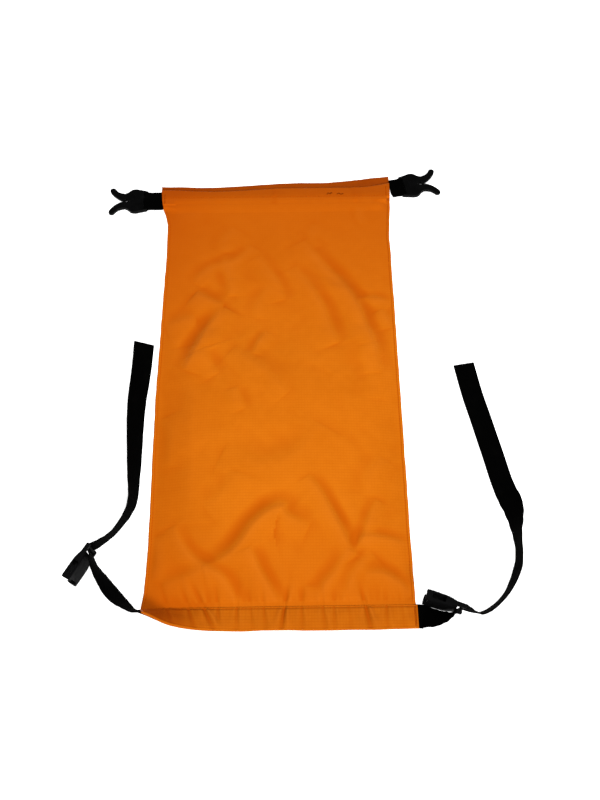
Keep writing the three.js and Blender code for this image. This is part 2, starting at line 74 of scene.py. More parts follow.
SEAM_Z, SEAM_WIDTH, BEAD_HEIGHT = 1.3, 3.3, 0.95  # sewn side seam: mid height, width, swell
STITCH_INSET = 3.4              # from the side edge to its stitch line

# Buckles. A tab's x, y and turn (degrees) place its own frame; bar and root are places along it.
BUCKLE_Z, BAR_RADIUS, BAR_BACK = 3.0, 1.5, 11.0
TABS = {
    "left": dict(x=-152.0, y=550.0, turn=180.0, bar=19.4, root=-4.0),
    "right": dict(x=147.0, y=565.4, turn=10.0, bar=16.2, root=0.3),
}
LEFT_BAR, RIGHT_BAR = (-199.5, 83.0), (187.6, 14.6)  # x, y of the female halves' crossbars
FEMALE_Z = 18.9

# (y, x) along the side edges.
LEFT_EDGE = [
    (-2, -147), (24, -146), (40, -143.6), (100, -142.5), (280, -144), (475, -140.8),
    (514, -141.7), (532, -146), (536, -149), (560, -151)]
RIGHT_EDGE = [
    (-2, 145.5), (20, 143), (100, 142.5), (480, 142.5), (490, 142), (520, 144),
    (536, 145.6), (588, 146.5)]
# (x, y) along the top edges of the two lips.
BACK_TOP = [
    (-151, 574.5), (-130, 572.8), (-100, 571), (-75, 571), (-50, 572.5), (0, 576), (30, 577),
    (60, 576.4), (100, 580), (125, 584), (146.5, 587.5)]
FRONT_TOP = [
    (-151, 566), (-130, 565.5), (-110, 563.5), (-75, 562.5), (-40, 564), (0, 566.5), (60, 567),
    (100, 566.7), (115, 567.6), (130, 570), (146.5, 573.5)]
# (x, degrees) by which the hem band turns up; its left corner stands nearly upright.
HEM_TURN = [
    (-147, 74), (-138, 66), (-130, 57), (-122, 48), (-115, 41), (-107, 34), (-100, 28),
    (-90, 20), (-78, 12), (-60, 5), (-40, 0), (0, 0), (144.5, 0)]


# ------------------------------------------------------------------ numbers and curves
def smooth(t):
    """Eases from 0 to 1 as t goes from 0 to 1."""
    t = np.clip(t, 0.0, 1.0)
    return t * t * (3 - 2 * t)


def bell(t):
    return np.exp(-t ** 2)


def unit(vectors):
    length = np.linalg.norm(vectors, axis=-1, keepdims=True)
    return vectors / np.maximum(length, 1e-9)


def table_fn(table, sigma):
    """A table of (t, value) as a function, its corners rounded over sigma."""
    step = 0.5
    knots, values = np.array(table, float).T
    t = np.arange(knots[0] - 5 * sigma, knots[-1] + 5 * sigma, step)
    curve = np.interp(t, knots, values)
    # The ends run on along their own slope, so that rounding does not pull them in.
    for beyond, end, inner in ((t < knots[0], 0, 1), (t > knots[-1], -1, -2)):
        first, last = sorted((end, inner))
        rise, run = values[last] - values[first], knots[last] - knots[first]
        curve[beyond] = values[end] + (t[beyond] - knots[end]) * rise / run
    reach = int(4 * sigma / step)
    kernel = np.arange(-reach, reach + 1) * step
    kernel = np.exp(-0.5 * (kernel / sigma) ** 2)
    kernel /= kernel.sum()
    curve = np.convolve(np.pad(curve, len(kernel) // 2, mode="edge"), kernel, mode="valid")
    return lambda at: np.interp(at, t, curve)


def noise(x, y, cell, seed):
    """Smooth value noise in -1..1."""
    grid = np.random.RandomState(seed).rand(97, 97) * 2 - 1
    u, v = x / cell + 31.7, y / cell + 12.9
    i, j = np.floor(u).astype(int), np.floor(v).astype(int)
    u, v = u - i, v - j
    u, v = u * u * (3 - 2 * u), v * v * (3 - 2 * v)
    i, j = i % 96, j % 96
    near = grid[i, j] * (1 - u) + grid[i + 1, j] * u
    far = grid[i, j + 1] * (1 - u) + grid[i + 1, j + 1] * u
    return near * (1 - v) + far * v


def soft_min(a, b, softness):
    low = np.minimum(a, b)
    return low - softness * np.log(np.exp(-(a - low) / softness) + np.exp(-(b - low) / softness))


def spline(points, fine):
    """A curve through 2D points, with fine steps between neighbours."""
    points = np.asarray(points, float)
    ends = 2 * points[0] - points[1], 2 * points[-1] - points[-2]
    knots = np.vstack([ends[0], points, ends[1]])
    curve = []
    for k in range(1, len(knots) - 2):
        a, b, c, d = knots[k - 1:k + 3]
        for i in range(fine):
            t = i / fine
            curve.append(0.5 * (2 * b + (c - a) * t + (2 * a - 5 * b + 4 * c - d) * t * t
                                + (3 * b - a - 3 * c + d) * t ** 3))
    return np.array(curve + [points[-1]])


def path_length(points):
    """Length run from the start of a path to each of its points."""
    return np.r_[0, np.cumsum(np.linalg.norm(np.diff(points, axis=0), axis=1))]


def resample(at, run, vectors):
    return np.stack([np.interp(at, run, vectors[:, axis]) for axis in range(3)], -1)


def side_edge(table, seed, shift):
    """x of a side edge as a function of y, wavering slightly between hem and rolls."""
    edge = table_fn(table, sigma=3.5)

    def at(y):
        waver = 0.3 * noise(y, 0 * y + shift, cell=11.0, seed=seed)
        return edge(y) + waver * smooth((530 - y) / 60) * smooth((y - 26) / 20)
    return at


left_edge = side_edge(LEFT_EDGE, seed=3, shift=0)
right_edge = side_edge(RIGHT_EDGE, seed=4, shift=40)
back_top, front_top = table_fn(BACK_TOP, sigma=4.0), table_fn(FRONT_TOP, sigma=4.0)
hem_turn = table_fn(HEM_TURN, sigma=2.5)


def hem_point(x, depth, level):
    """A point of the turned-up hem: depth from its stitched edge, level through its thickness."""
    turn = np.radians(hem_turn(x))
    drawn_in = 0.24 * np.clip(depth, 0, 30) * smooth((np.degrees(turn) - 28) / 46)
    return np.stack([
        x + 0 * depth + drawn_in,
        HEM_TOP - depth * np.cos(turn) + (level - HEM_THICK) * np.sin(turn),
        HEM_THICK + depth * np.sin(turn) + (level - HEM_THICK) * np.cos(turn)], -1)


# ------------------------------------------------------------------ mesh helpers
def metres(x, y, z):
    return (x * MM, y * MM, z * MM)


def new_object(name, verts, faces, materials, face_material=None, normals=None,
               flat=None, painted_shading=None):
    """A smooth-shaded object; flat (the place on the flat cloth) and the amount of painted shade and
    highlight are the point attributes the cloth shader reads.
    """
    mesh = bpy.data.meshes.new(name)
    verts = np.asarray(verts, float).reshape(-1, 3) * MM
    mesh.from_pydata(verts.tolist(), [], [tuple(int(i) for i in face) for face in faces])
    mesh.validate()
    for material in materials:
        mesh.materials.append(material)
    if face_material is not None:
        mesh.polygons.foreach_set("material_index", np.asarray(face_material, np.int32))
    mesh.polygons.foreach_set("use_smooth", np.full(len(mesh.polygons), True))
    for key, kind, field, values in (("flat", "FLOAT_VECTOR", "vector", flat),
                                     ("painted_shading", "FLOAT", "value", painted_shading)):
        if values is not None:
            values = np.asarray(values, np.float32).ravel()
            mesh.attributes.new(key, kind, "POINT").data.foreach_set(field, values)
    mesh.update()
    if normals is not None:
        mesh.normals_split_custom_set_from_vertices(normals.reshape(-1, 3).tolist())
    return link_object(name, mesh)


def link_object(name, data):
    ob = bpy.data.objects.new(name, data)
    bpy.context.scene.collection.objects.link(ob)
    return ob


def register(ob, slot, ride=None, blend=None, replaces=()):
    """Gives an object the body or bodies it moves with and what it replaces; slot is not used."""
    if ride:
        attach(ob, ride)
    if blend:
        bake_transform(ob, *blend)
    if replaces:
        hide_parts(*replaces)


@contextmanager
def editing(mesh):
    """The mesh as a bmesh, written back afterwards."""
    bm = bmesh.new()
    bm.from_mesh(mesh)
    yield bm
    bm.to_mesh(mesh)
    bm.free()


def grid_faces(rows, cols, wrap=False, flip=False):
    """Quads over a rows x cols block; wrap joins the last column to the first."""
    row = np.arange(rows - 1)[:, None] * cols
    col = np.arange(cols if wrap else cols - 1)[None, :]
    after = (col + 1) % cols
    quads = np.stack([row + col, row + after, row + cols + after, row + cols + col], -1)
    quads = quads.reshape(-1, 4)
    return quads[:, ::-1] if flip else quads


def grid_normals(points, wrap=False):
    """Unit normals of a rows x cols x 3 block, as (along columns) x (along rows)."""
    down = np.gradient(points, axis=0)
    if wrap:
        across = (np.roll(points, -1, 1) - np.roll(points, 1, 1)) / 2
    else:
        across = np.gradient(points, axis=1)
    return unit(np.cross(across, down))


class Gather:
    """Collects closed forms into one mesh."""

    def __init__(self):
        self.verts, self.faces, self.count = [], [], 0

    def add(self, verts, faces):
        self.verts.append(verts)
        self.faces += [tuple(i + self.count for i in face) for face in faces]
        self.count += len(verts)

    def tube(self, path, radius, sides=6, taper=True):
        path = np.asarray(path, float)
        ahead = unit(np.gradient(path, axis=0))
        reference = (0.0, 0.0, 1.0) if abs(ahead[0][2]) < 0.8 else (1.0, 0.0, 0.0)
        side = unit(np.cross(ahead, reference))
        up = np.cross(side, ahead)
        radii = np.full(len(path), float(radius))
        if taper:
            radii[[0, -1]] *= 0.45
        angle = (np.arange(sides) * 2 * math.pi / sides)[:, None]
        rings = path[:, None] + radii[:, None, None] * (
            np.cos(angle) * side[:, None] + np.sin(angle) * up[:, None])
        last = (len(path) - 1) * sides
        caps = [tuple(range(sides)), tuple(last + i for i in reversed(range(sides)))]
        self.add(rings.reshape(-1, 3), list(grid_faces(len(path), sides, wrap=True)) + caps)

    def object(self, name, material):
        return new_object(name, np.concatenate(self.verts), self.faces, [material])


# ------------------------------------------------------------------ shader helpers
def feed(target, value):
    """Links a Value to a shader input, or sets the input's own value."""
    if isinstance(value, Value):
        target.id_data.links.new(value.socket, target)
    elif target.type == "RGBA":
        target.default_value = (*value, 1)
    else:
        target.default_value = value


class Value:
    """A shader output whose arithmetic adds Math nodes."""

    def __init__(self, socket):
        self.socket = socket

    def op(self, operation, *others, first=None):
        """A Math node on this value and the others; first goes before this value."""
        node = self.socket.id_data.nodes.new("ShaderNodeMath")
        node.operation = operation
        terms = (self, *others) if first is None else (first, self)
        for target, term in zip(node.inputs, terms):
            feed(target, term)
        return Value(node.outputs[0])

    def clamped(self):
        """Holds the result of the last operation within 0..1."""
        self.socket.node.use_clamp = True
        return self

    def __add__(self, other):
        return self.op("ADD", other)

    def __radd__(self, other):
        return self.op("ADD", first=other)

    def __sub__(self, other):
        return self.op("SUBTRACT", other)

    def __rsub__(self, other):
        return self.op("SUBTRACT", first=other)

    def __mul__(self, other):
        return self.op("MULTIPLY", other)

    def __truediv__(self, other):
        return self.op("DIVIDE", other)

    def __abs__(self):
        return self.op("ABSOLUTE")


class Shader:
    """A new material, with short calls for the nodes used here."""

    def __init__(self, name):
        self.material = bpy.data.materials.new(name)
        self.material.use_nodes = True
        self.nodes = self.material.node_tree.nodes
        self.principled = self.nodes["Principled BSDF"]

    def node(self, kind, output, **inputs):
        node = self.nodes.new("ShaderNode" + kind)
        for key, value in inputs.items():
            feed(node.inputs[key.replace("_", " ")], value)
        return Value(node.outputs[output])

    def surface(self, **inputs):
        for key, value in inputs.items():
            feed(self.principled.inputs[key.replace("_", " ")], value)

    def attribute(self, name, output):
        value = self.node("Attribute", output)
        value.socket.node.attribute_name = name
        return value

    def split(self, vector):
        """The first two components of a vector."""
        node = self.node("SeparateXYZ", 0, Vector=vector).socket.node
        return Value(node.outputs[0]), Value(node.outputs[1])

    def noise(self, vector, scale, detail, roughness):
        return self.node("TexNoise", "Fac", Scale=scale, Detail=detail, Roughness=roughness,
                         Vector=vector)

    def stretched_noise(self, vector, scales, detail, roughness):
        stretched = self.node("Mapping", "Vector", Vector=vector, Scale=scales)
        return self.noise(stretched, scale=1.0, detail=detail, roughness=roughness)

    def ramp(self, value, stops):
        node = self.nodes.new("ShaderNodeValToRGB")
        elements = node.color_ramp.elements
        while len(elements) < len(stops):
            elements.new(0.5)
        for element, (position, colour) in zip(elements, stops):
            element.position = position
            element.color = (*colour, 1)
        feed(node.inputs[0], value)
        return Value(node.outputs[0])

    def mix(self, share, colour, other):
        node = self.nodes.new("ShaderNodeMix")
        node.data_type = "RGBA"
        for index, value in ((0, share), (6, colour), (7, other)):
            feed(node.inputs[index], value)
        return Value(node.outputs[2])

    def bump(self, height, strength, distance):
        return self.node("Bump", "Normal", Strength=strength, Distance=distance, Height=height)


def scaled(colour, *factors):
    """A colour times one factor, or times a factor for each channel."""
    return tuple(c * k for c, k in zip(colour, factors * 3))


# ------------------------------------------------------------------ materials
def line_mask(coordinate, pitch, width):
    """1 on thin lines that repeat every pitch, 0 between them."""
    from_middle = abs((coordinate / pitch).op("FRACT") - 0.5)
    from_line = (0.5 - from_middle) * pitch
    return (1.0 - from_line / width).clamped()


def cloth_material(name, base, light, dark, grid=0.5, sheen=0.04, rough=0.52, streak=0.0):
    """Coated ripstop nylon. "flat" is a point's place on the flat cloth in mm; the second point
    attribute says how far the point stands proud of its surroundings, and the colour turns it into painted
    shade where it is negative and a painted highlight where it is positive. grid and streak are the
    strengths of the ripstop lines and of the broken dark rows."""
    shader = Shader(name)
    flat = shader.attribute("flat", "Vector")
    painted_shading = shader.attribute("painted_shading", "Fac")
    x, y = shader.split(flat)
    broad = shader.noise(flat, scale=0.018, detail=3.0, roughness=0.5)
    mid = shader.noise(flat, scale=0.09, detail=4.0, roughness=0.6)
    fine = shader.noise(flat, scale=0.9, detail=3.0, roughness=0.6)
    colour = shader.ramp(broad * 0.55 + mid * 0.45, [(0.33, dark), (0.5, base), (0.68, light)])

    # Ripstop lines, fainter across than along, broken up by the fine noise.
    ripstop = 3.3
    lines = (line_mask(x, ripstop, width=0.42) * 0.6).op(
        "MAXIMUM", line_mask(y, ripstop, width=0.50))
    lines = lines * (0.55 + fine * 0.6)
    colour = shader.mix(lines * grid, colour, scaled(base, 0.80, 0.70, 0.4))

    # Painted shade: the colour is deeper and redder towards the mouth, along the left edge and above the
    # hem, where less light falls.
    top = ((y - 330.0) * (1 / 230.0)).clamped().op("SMOOTH_MIN", 1.0, 0.1) * 0.70
    left = ((x + 60.0) * (-1 / 80.0)).clamped() * 0.34
    bottom = ((130.0 - y) * (1 / 110.0)).clamped() * 0.45
    painted_shade_gradient = (top + (left + bottom)).clamped()
    colour = shader.mix(painted_shade_gradient, colour, scaled(base, 0.84, 0.62, 0.40))

    # Painted shade deepens the colour in creases; a painted highlight makes proud folds paler.
    low = ((0.0 - painted_shading) * 1.0).clamped()
    high = (painted_shading * 1.0).clamped()
    colour = shader.mix(low * 0.75, colour, scaled(base, 0.84, 0.60, 0.2))
    gain, lift = (1.04, 1.12, 1.0), (0.0, 0.004, 0.012)
    highlight_colour = tuple(min(1.0, c * k + a) for c, k, a in zip(light, gain, lift))
    colour = shader.mix(high * 0.14, colour, highlight_colour)

    if streak:
        row_pitch, row_gap = 1.05, 0.68
        rows = (y / row_pitch).op("FRACT").op("GREATER_THAN", row_gap)
        row_place = shader.node("CombineXYZ", "Vector", X=x * 0.25,
                                Y=(y / row_pitch).op("FLOOR"))
        rows = rows * shader.noise(row_place, scale=1.0, detail=2.0, roughness=0.5)
        colour = shader.mix(rows * streak, colour, scaled(base, 0.45))

    yarn_turn = 2 * math.pi / 0.62  # radians of weave in a millimetre
    weave = (x * yarn_turn).op("SINE") * (y * yarn_turn).op("SINE")
    height = weave * 0.22 + lines * 1.0 + mid * 1.3
    shader.surface(
        Base_Color=colour,
        Normal=shader.bump(height, strength=0.32, distance=0.00016),
        Roughness=(rough - 0.08) + mid * 0.16 + low * 0.08,
        Sheen_Weight=sheen, Sheen_Roughness=0.45, Sheen_Tint=(1.0, 0.40, 0.06),
        Specular_IOR_Level=0.22, Specular_Tint=(1.0, 0.42, 0.06))
    return shader.material


def thread_material(name, colour):
    shader = Shader(name)
    place = shader.node("TexCoord", "Object")
    mottle = shader.noise(place, scale=900.0, detail=2.0, roughness=0.6)
    ply = shader.noise(place, scale=3500.0, detail=1.0, roughness=0.5)
    bright = tuple(min(1, c * 1.2) for c in colour)
    stops = [(0.3, scaled(colour, 0.85)), (0.55, colour), (0.8, bright)]
    shader.surface(
        Base_Color=shader.ramp(mottle, stops),
        Normal=shader.bump(ply, strength=0.5, distance=0.0001),
        Roughness=0.55 + mottle * 0.25,
        Specular_IOR_Level=0.12, Specular_Tint=(1.0, 0.45, 0.1))
    return shader.material


def webbing_material(name):
    """Black polyester webbing. "flat" is (along, across, 0) in mm."""
    shader = Shader(name)
    flat = shader.attribute("flat", "Vector")
    along, across = shader.split(flat)
    turn = 2 * math.pi
    basket = ((across * (turn / BASKET_ACROSS)).op("COSINE")
              * (along * (turn / BASKET_ALONG)).op("COSINE"))
    yarn = ((along + basket * 0.5) * (turn / 0.65)).op("SINE")
    fibre = shader.noise(flat, scale=2.2, detail=4.0, roughness=0.7)
    dust = shader.noise(flat, scale=0.06, detail=3.0, roughness=0.6)
    colour = shader.ramp(basket * 0.16 + fibre * 0.7, [
        (0.12, (0.0005, 0.0005, 0.0005)), (0.5, (0.0010, 0.0010, 0.0009)),
        (0.85, (0.0030, 0.0029, 0.0027))])
    selvedge = ((abs(across) - 11.2) * 1.2).clamped()
    colour = shader.mix(selvedge * 0.35, colour, (0.0040, 0.0038, 0.0036))
    colour = shader.mix(((dust - 0.52) * 0.9).clamped(), colour, (0.0045, 0.0042, 0.0036))
    height = basket * 0.6 + (yarn * 0.35 + fibre * 0.5)
    shader.surface(
        Base_Color=colour,
        Normal=shader.bump(height, strength=0.5, distance=0.00014),
        Roughness=0.62 + fibre * 0.25,
        Specular_IOR_Level=0.008)
    return shader.material


def plastic_material(name, specular):
    """Black moulding with rubbed edges, fine grain and long scratches."""
    shader = Shader(name)
    place = shader.node("TexCoord", "Object")
    grain = shader.noise(place, scale=2600.0, detail=2.0, roughness=0.6)
    cloud = shader.noise(place, scale=120.0, detail=4.0, roughness=0.6)
    edge = ((shader.node("NewGeometry", "Pointiness") - 0.52) * 5.0).clamped()
    colour = shader.ramp(cloud, [(0.3, (0.0010, 0.0010, 0.0010)),
                                 (0.7, (0.0024, 0.0024, 0.0025))])
    scratch = shader.stretched_noise(place, (300.0, 2400.0, 900.0), detail=2.0, roughness=0.7)
    shader.surface(
        Base_Color=shader.mix(edge * 0.5, colour, (0.0070, 0.0070, 0.0072)),
        Normal=shader.bump(grain + scratch * 0.6, strength=0.16, distance=0.00005),
        Roughness=0.30 + cloud * 0.22,
        Specular_IOR_Level=specular)
    return shader.material


def film_material(name, colour, rough):
    """Seam tape and stiffener strip: smooth film with faint rolling marks."""
    shader = Shader(name)
    place = shader.node("TexCoord", "Object")
    cloud = shader.noise(place, scale=60.0, detail=4.0, roughness=0.6)
    marks = shader.stretched_noise(place, (40.0, 900.0, 40.0), detail=2.0, roughness=0.5)
    shader.surface(
        Base_Color=shader.ramp(cloud, [(0.3, scaled(colour, 0.82)), (0.7, colour)]),
        Normal=shader.bump(marks, strength=0.3, distance=0.0001),
        Roughness=rough + cloud * 0.2)
    return shader.material


ORANGE = (0.374, 0.1030, 0.0042)
ORANGE_LIGHT = (0.391, 0.1095, 0.0050)
ORANGE_DARK = (0.357, 0.0960, 0.0033)
CLOTH = cloth_material("ripstop_orange", base=ORANGE, light=ORANGE_LIGHT, dark=ORANGE_DARK)
# A darker copy of the orange cloth, as painted shade on the hem band and the mouth's lips, where less light
# falls.
CLOTH_SHADED = cloth_material(
    "ripstop_orange_shaded", base=scaled(ORANGE, 0.84, 0.79, 0.75),
    light=scaled(ORANGE_LIGHT, 0.86), dark=scaled(ORANGE_DARK, 0.81), grid=0.6)
# The coated inner face: its own darker coating colour, darkened further as painted shade for the inside of
# the mouth.
CLOTH_INNER_SHADED = cloth_material(
    "coated_inner_orange_shaded", base=(0.250, 0.056, 0.0016), light=(0.300, 0.070, 0.0024),
    dark=(0.190, 0.040, 0.0010), grid=0.2, sheen=0.1, rough=0.42, streak=0.75)
THREAD = thread_material("thread_orange", (0.360, 0.072, 0.0016))
THREAD_DARK = thread_material("thread_end_brown", (0.110, 0.020, 0.0012))
WEBBING = webbing_material("webbing_black")
PLASTIC = plastic_material("moulded_black", specular=0.05)
# A copy of the moulding with almost no specular reflection, darkening the female halves as painted shade.
PLASTIC_SHADED = plastic_material("moulded_black_shaded", specular=0.008)
TAPE = film_material("seam_tape_film", (0.62, 0.36, 0.17), rough=0.3)
STRIP = film_material("stiffener_white", (0.72, 0.70, 0.64), rough=0.35)


# ------------------------------------------------------------------ sewing
# Height of a thread bridge along its length; its ends dive into the cloth.
STITCH_LIFT = np.array([-0.25, 0.0, 0.12, 0.0, -0.25])[:, None]
TACK_LIFT = np.array([-0.28, 0.0, 0.1, 0.0, -0.28])[:, None]
TACK_PITCH = 0.46


def stitching(name, paths, normal, length, gap, radius, sink, **attached):
    """Machine stitches along paths, as one object."""
    threads = Gather()
    for path in paths:
        normals = np.broadcast_to(np.asarray(normal, float), path.shape)
        run = path_length(path)
        for i in range(int(run[-1] // (length + gap))):
            start = i * (length + gap) + 0.2
            at = start + length * np.array([0, 0.12, 0.5, 0.88, 1.0])
            lift = STITCH_LIFT + radius - sink
            threads.tube(resample(at, run, path) + resample(at, run, normals) * lift, radius)
    register(threads.object(name, THREAD), "thread", **attached)


def bartack(name, body, node, centres, normal):
    """Satin block: close threads laid along x across a line of points."""
    threads = Gather()
    across = np.array([-1, -0.85, 0, 0.85, 1])[:, None]
    for k, centre in enumerate(centres):
        half = 1 + 0.08 * math.sin(k * 2.3)
        path = centre + across * half * np.array([1.0, 0, 0]) + TACK_LIFT * normal
        threads.tube(path, radius=0.24, sides=5)
    register(threads.object(name, THREAD), "thread", ride=body, replaces=[node])


# ------------------------------------------------------------------ relief of the cloth
# Gathers along the hem's stitch line: x, depth, slant, width.
PUCKERS = [
    (-118, 0.5, 0.3, 4.5), (-96, 0.9, 0.35, 4.5), (-80, 1.7, 0.5, 5), (-65, 0.9, 0.1, 4),
    (-45, 0.9, 0.0, 4), (-31, 0.5, 0.1, 3.5), (-17, 0.8, 0.1, 4), (5, 1.9, -0.15, 4.5),
    (23, 0.8, 0, 4), (45, 0.9, 0.1, 4), (57, 0.8, 0, 3.5), (72, 0.5, 0.1, 4),
    (90, 2.0, 0.2, 5), (112, 0.9, 0, 4), (128, 0.5, 0.1, 4)]


def pucker(x, depth):
    """Height of the gathers; depth runs from the stitch line, positive into the band."""
    out = np.zeros_like(x + depth, dtype=float)
    for at, amount, slant, width in PUCKERS:
        q = (x - at - slant * depth) / (0.62 * width * (1 + np.abs(depth) / 22))
        out += 1.15 * amount * (0.75 * bell((q - 1.0) / 0.8) - 1.05 * bell(q / 0.55)
                                + 0.5 * bell((q + 1.2) / 0.9))
    return out * np.where(depth > 0, np.clip(1 - depth / 27, 0, 1) ** 0.6, np.exp(depth / 12))


# Soft folds of the front: points (x, y) along the steep flank, its slope, its half width.
FOLDS = [
    ([(-68, 390), (-85, 362), (-98, 338), (-114, 302)], 0.62, 8.0),
    ([(-62, 404), (-62, 420), (-66, 440), (-72, 464)], 0.34, 6.5),
    ([(-74, 470), (-70, 490), (-58, 508)], 0.18, 8.0),
    ([(-100, 412), (-92, 406), (-80, 398), (-66, 394)], 0.42, 7.0),
    ([(-106, 424), (-98, 438), (-80, 450), (-58, 456), (-44, 468), (-36, 480)], 0.34, 6.5),
    ([(-22, 464), (-8, 440), (2, 420), (9, 398)], 0.30, 6.5),
    ([(36, 488), (52, 460), (70, 435), (88, 410), (100, 385), (107, 360), (115, 340),
      (122, 296)], 0.60, 8.5),
    ([(24, 448), (45, 412), (57, 384), (66, 354), (74, 336)], 0.38, 8.0),
    ([(97, 401), (118, 400), (139, 396)], 0.34, 4.5),
    ([(-31, 322), (-25, 338), (-17, 354)], 0.34, 4.0),
    ([(-138, 366), (-122, 371), (-102, 378)], 0.22, 8.0),
    ([(-86, 326), (-80, 310), (-70, 296)], 0.20, 6.5),
    ([(-128, 330), (-124, 312), (-114, 296), (-108, 266), (-108, 232), (-106, 190),
      (-107, 150), (-108, 112)], 0.15, 15.0),
    ([(-84, 70), (-68, 74), (-54, 82), (-42, 95), (-30, 112), (-15, 125), (2, 131),
      (12, 120), (34, 110)], 0.52, 8.0),
    ([(-113, 112), (-106, 96), (-95, 80), (-80, 68), (-60, 55), (-48, 38), (-38, 24)],
     0.46, 6.0),
    ([(-30, 86), (-20, 62), (-10, 45), (2, 24)], 0.54, 6.0),
    ([(34, 166), (48, 145), (58, 125), (68, 105), (76, 88), (84, 74)], 0.50, 6.0),
    ([(106, 138), (97, 118), (89, 96), (77, 78)], 0.38, 5.0),
    ([(84, 97), (110, 96), (142, 90)], 0.40, 4.5),
    ([(72, 84), (60, 62), (45, 45), (37, 26)], 0.36, 6.5),
    ([(98, 80), (82, 64), (70, 42), (61, 22)], 0.32, 6.5),
    ([(90, 58), (110, 58), (125, 50), (142, 37)], 0.42, 6.0),
    ([(-126, 50), (-98, 58), (-80, 67)], 0.24, 7.0),
    ([(-48, 276), (-44, 262), (-38, 248)], 0.22, 5.0),
    ([(-60, 202), (-20, 186), (16, 196), (40, 232)], 0.16, 14.0),
    ([(-52, 332), (-20, 306), (14, 270)], 0.16, 10.0),
    ([(96, 330), (104, 300), (104, 260)], 0.14, 10.0),
    ([(-12, 420), (-26, 396), (-30, 372)], 0.16, 7.0),
    ([(-136, 240), (-126, 215), (-128, 180)], 0.16, 8.0),
    ([(128, 384), (134, 372), (139, 358)], 0.26, 6.0),
    ([(42, 512), (40, 494), (44, 474)], 0.16, 6.0),
    ([(-92, 541), (-76, 539), (-58, 543)], 0.20, 4.0),
    ([(-132, 534), (-112, 531), (-92, 536)], 0.14, 5.0),
    ([(27, 44), (28, 34), (30, 23)], 0.30, 4.0),
    ([(102, 546), (101, 528), (104, 508)], 0.22, 4.0),
    ([(-84, 132), (-62, 150), (-54, 172)], 0.14, 9.0),
    ([(112, 190), (98, 168), (94, 142)], 0.14, 8.0),
    ([(-138, 100), (-134, 78), (-137, 52)], 0.26, 5.5),
]
FLANK_SIDE = np.array([0.25, -0.968])  # direction that sets which side of a fold is steep
FOLD_BACK = 2.8   # width of the gentle flank over that of the steep one
FOLD_FOOT = 0.28  # depth of the hollow at the steep flank's foot, over the fold's height
FOLD_ENDS = 0.55  # power of the taper; lower is blunter


def add_fold(x, y, relief, points, slope, flank):
    """Adds one soft fold to relief; flank is the half width of its steep side."""
    line = spline(points, fine=6)
    ahead = np.gradient(line, axis=0)
    normal = unit(np.stack([-ahead[:, 1], ahead[:, 0]], -1))
    if (normal @ FLANK_SIDE).mean() < 0:
        normal = -normal
    line = line + normal * 0.7 * flank
    reach = 3.2 * flank * FOLD_BACK
    (x_low, y_low), (x_high, y_high) = line.min(0) - reach, line.max(0) + reach
    near = (x > x_low) & (x < x_high) & (y > y_low) & (y < y_high)
    if not near.any():
        return
    x, y = x[near], y[near]
    best = np.full(x.shape, 1e9)
    side = np.ones(x.shape)
    share = np.zeros(x.shape)
    for k in range(len(line) - 1):
        start, step = line[k], line[k + 1] - line[k]
        u = np.clip(((x - start[0]) * step[0] + (y - start[1]) * step[1]) / (step @ step), 0, 1)
        off_x, off_y = x - start[0] - u * step[0], y - start[1] - u * step[1]
        square = off_x * off_x + off_y * off_y
        closer = square < best
        best = np.where(closer, square, best)
        side = np.where(closer, -np.sign(normal[k][0] * off_x + normal[k][1] * off_y), side)
        share = np.where(closer, (k + u) / (len(line) - 1), share)
    distance = np.sqrt(best) * np.where(side == 0, 1, side)
    taper = np.sin(np.pi * np.clip(share, 0.0, 1.0)) ** FOLD_ENDS
    width = np.where(distance > 0, flank, flank * FOLD_BACK) * (0.7 + 0.3 * taper)
    foot = FOLD_FOOT * bell((distance - 2.1 * flank) / (1.05 * flank))
    relief[near] += slope * flank * taper * (bell(distance / width) - foot)


def front_relief(x, y):
    relief = np.zeros(x.shape)
    for points, slope, flank in FOLDS:
        add_fold(x, y, relief, points, slope, flank)
    relief *= 0.84
    # Loose undulation of an empty sheet, then fine crumple.
    warp_x, warp_y = x + 14 * noise(x, y, 46, seed=21), y + 14 * noise(x, y, 46, seed=22)
    relief += (0.45 * noise(warp_x, warp_y, 44, seed=5)
               + 0.20 * noise(warp_x * 1.1 + warp_y * 0.5, warp_y, 21, seed=6))
    relief += 0.035 * noise(warp_x, warp_y, 8.5, seed=7)
    return relief


# ------------------------------------------------------------------ heights of the two sheets
# (y, z) of the front sheet along its middle.
CROWN_TABLE = [
    (21, 2.2), (24, 2.7), (30, 3.6), (42, 5.6), (70, 9.4), (110, 12.6), (160, 14.0),
    (225, 14.0), (265, 12.6), (300, 9.6), (330, 6.4), (350, 4.6), (370, 3.6), (395, 3.0),
    (424, 2.8), (470, 2.9), (498, 2.95), (512, 3.25), (525, 3.8), (534, 4.4), (541.5, 5.0)]
# (y, z) that the front sheet stays under.
CEILING = np.array([
    (20, 6), (30, 9), (60, 22), (320, 22), (345, 9), (357, 6.9), (362, 6.6), (367, 6.8),
    (378, 6.8), (410, 6.6), (421, 5.0), (430, 4.2), (512, 4.2), (525, 4.5), (534, 4.8),
    (541, 5.5)], float)
FLOOR_OF_FRONT = 1.35
crown_height = table_fn(CROWN_TABLE, sigma=5.0)


